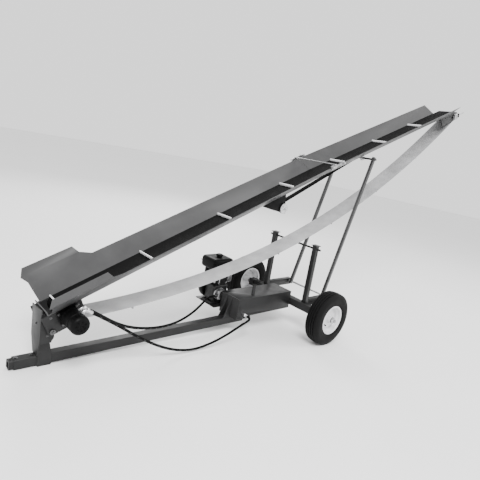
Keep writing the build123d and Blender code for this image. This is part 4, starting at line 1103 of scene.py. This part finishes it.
tankSpot = onChassis(engine["x"] - 0.0075, 0.23, 0.2715)
tankShape = roundBox(tankSpot, (0.193, 0.178, 0.0925), 0.026, segments=6)
seam = roundBox(tankSpot + chassisUp * 0.004, (0.1945, 0.1795, 0.004), 0.0018, segments=2)
neck = capped([(0, 0), (0.022, 0), (0.02, 0.008), (0.02, 0.0095), (0, 0.0095)],
              onChassis(engine["x"] - 0.01, 0.215, 0.3165), chassisUp, 40)
addShape("fuelTank", joinParts([tankShape, seam, neck]), 40, enginePaint, "chassis", "fuel_tank")


def ribbedCap(name, node, centre, radius, height, body, material):
    # knurled rim: radius rises and falls round the cap
    low, high = 0.0, height
    profile = [(0, low), (radius * 0.93, low), (radius * 0.95, low + 0.001), (radius * 0.95, high - 0.004),
               (radius * 0.88, high - 0.001), (radius * 0.6, high), (0, high)]
    shape = capped(profile, centre, chassisUp, 96)
    for vertex in shape.verts:
        out = vertex.co - Vector(centre)
        flat = out - chassisUp * out.dot(chassisUp)
        if abs(flat.length - radius * 0.95) < 1e-5:
            angle = math.atan2(flat.dot(across), flat.dot(chassisAlong))
            vertex.co += flat.normalized() * radius * 0.04 * math.cos(24 * angle)
    addShape(name, shape, 40, material, body, node)


ribbedCap("fuelCap", "fuel_cap", onChassis(engine["x"] - 0.01, 0.215, 0.3265), 0.026, 0.016, "fuel_cap",
          blackPlastic)
ribbedCap("fillerCap", "filler_cap", onChassis(-0.43, -0.053, 0.179), 0.0188, 0.034, "filler_cap",
          blackPlastic)

silencerSpot = middle("silencer")
parts = [roundBox(silencerSpot, (0.05, 0.078, 0.078), 0.014, segments=4)]
addObject("silencerBody", fromBmesh("silencerBody", joinParts(parts)), castAlloy, "chassis", "silencer")
louvre = roundBox(silencerSpot + chassisAlong * 0.0245 - chassisUp * 0.027, (0.0035, 0.056, 0.004), 0.0015,
                  segments=2)
row("silencerLouvres", "chassis", louvre, 7, chassisUp * 0.009, bareSteel)

cleanerSpot = onChassis(engine["x"] - 0.112, 0.185, 0.165)
profile = [(0, 0), (0.03, 0.0), (0.036, 0.003), (0.0375, 0.008), (0.0375, 0.018), (0.0355, 0.019),
           (0.0355, 0.021), (0.0375, 0.022),
           (0.0375, 0.04), (0.035, 0.0435), (0.0138, 0.044), (0.0138, 0.0595), (0, 0.0595)]
addShape("airCleaner", capped(profile, cleanerSpot, chassisAlong, 64), 35, blackPlastic, "chassis",
         "air_cleaner")

pump = {"x": -0.6, "z": 0.045}
plate = capped([(0, 0), (0.0465, 0), (0.048, 0.0015), (0.048, 0.0135), (0, 0.0135)],
               onChassis(pump["x"], 0.136, pump["z"]), across, 64)
bodyBox = roundBox(onChassis(pump["x"], 0.122, pump["z"] - 0.002), (0.063, 0.0275, 0.075), 0.008)
port = capped([(0, 0), (0.0103, 0), (0.0103, 0.03), (0, 0.03)],
              onChassis(pump["x"] - 0.062, 0.122, pump["z"] - 0.005), chassisAlong, 32)
nut = capped([(0, 0), (0.0102, 0), (0.0102, 0.01), (0, 0.01)],
             onChassis(pump["x"] - 0.052, 0.122, pump["z"] - 0.005), chassisAlong, 6)
addShape("gearPump", joinParts([plate, bodyBox, port, nut]), 35, castAlloy, "chassis", "gear_pump")
pumpSpots = [(onChassis(pump["x"] + x, 0.1085, pump["z"] + z), -across) for x in (-0.023,
                                                                                  0.023) for z in (-0.03,
                                                                                                   0.026)]
bolts("pumpBolts", "chassis", pumpSpots, 0.005, 0.0035)
print("engine made")


# bolts on the frame

standSpots = [(onChassis(-1.99, 0, 0.108), -chassisAlong)]
for side in (-1, 1):
    standSpots.append((onChassis(-1.951, side * 0.067, 0.058), across * side))
bolts("standBolts", "chassis", standSpots, 0.006, 0.005, boltSteel)
tongueSpots = [(onChassis(x, 0, -0.0745), chassisUp) for x in (-2.082, -2.003)]
bolts("hitchBolts", "chassis", tongueSpots, 0.0085, 0.0065, boltSteel)
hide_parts("hitch_bolts")
sidePlaces = []
for side in (-1, 1):
    for x in (0.04, 0.19):
        sidePlaces.append((onLower(x, side * trough["floorHalf"], -0.02), across * side))
bolts("tailPlateBolts", "conveyor", sidePlaces, 0.0055, 0.005, boltSteel)
headPlaces = []
for side in (-1, 1):
    for x in (1.93, 1.99, 2.05):
        headPlaces.append((onUpper(x, side * trough["floorHalf"], -0.022), across * side))
bolts("headPlateBolts", "conveyor", headPlaces, 0.0055, 0.005, boltSteel)
lug = {"x": 0.62, "width": 0.024, "rise": 0.014, "sheet": 0.004}
lugSpot = onLower(lug["x"], -trough["wallHalf"], trough["wallHeight"])
lugShape = joinParts([roundBox(lugSpot - lowerUp * 0.004, (lug["width"], lug["sheet"], lug["rise"]), 0.0015,
                               (lowerAlong, across, lowerUp), 2)])
addShape("edgeLug", lugShape, 40, boltSteel, "conveyor")
print("bolts made")
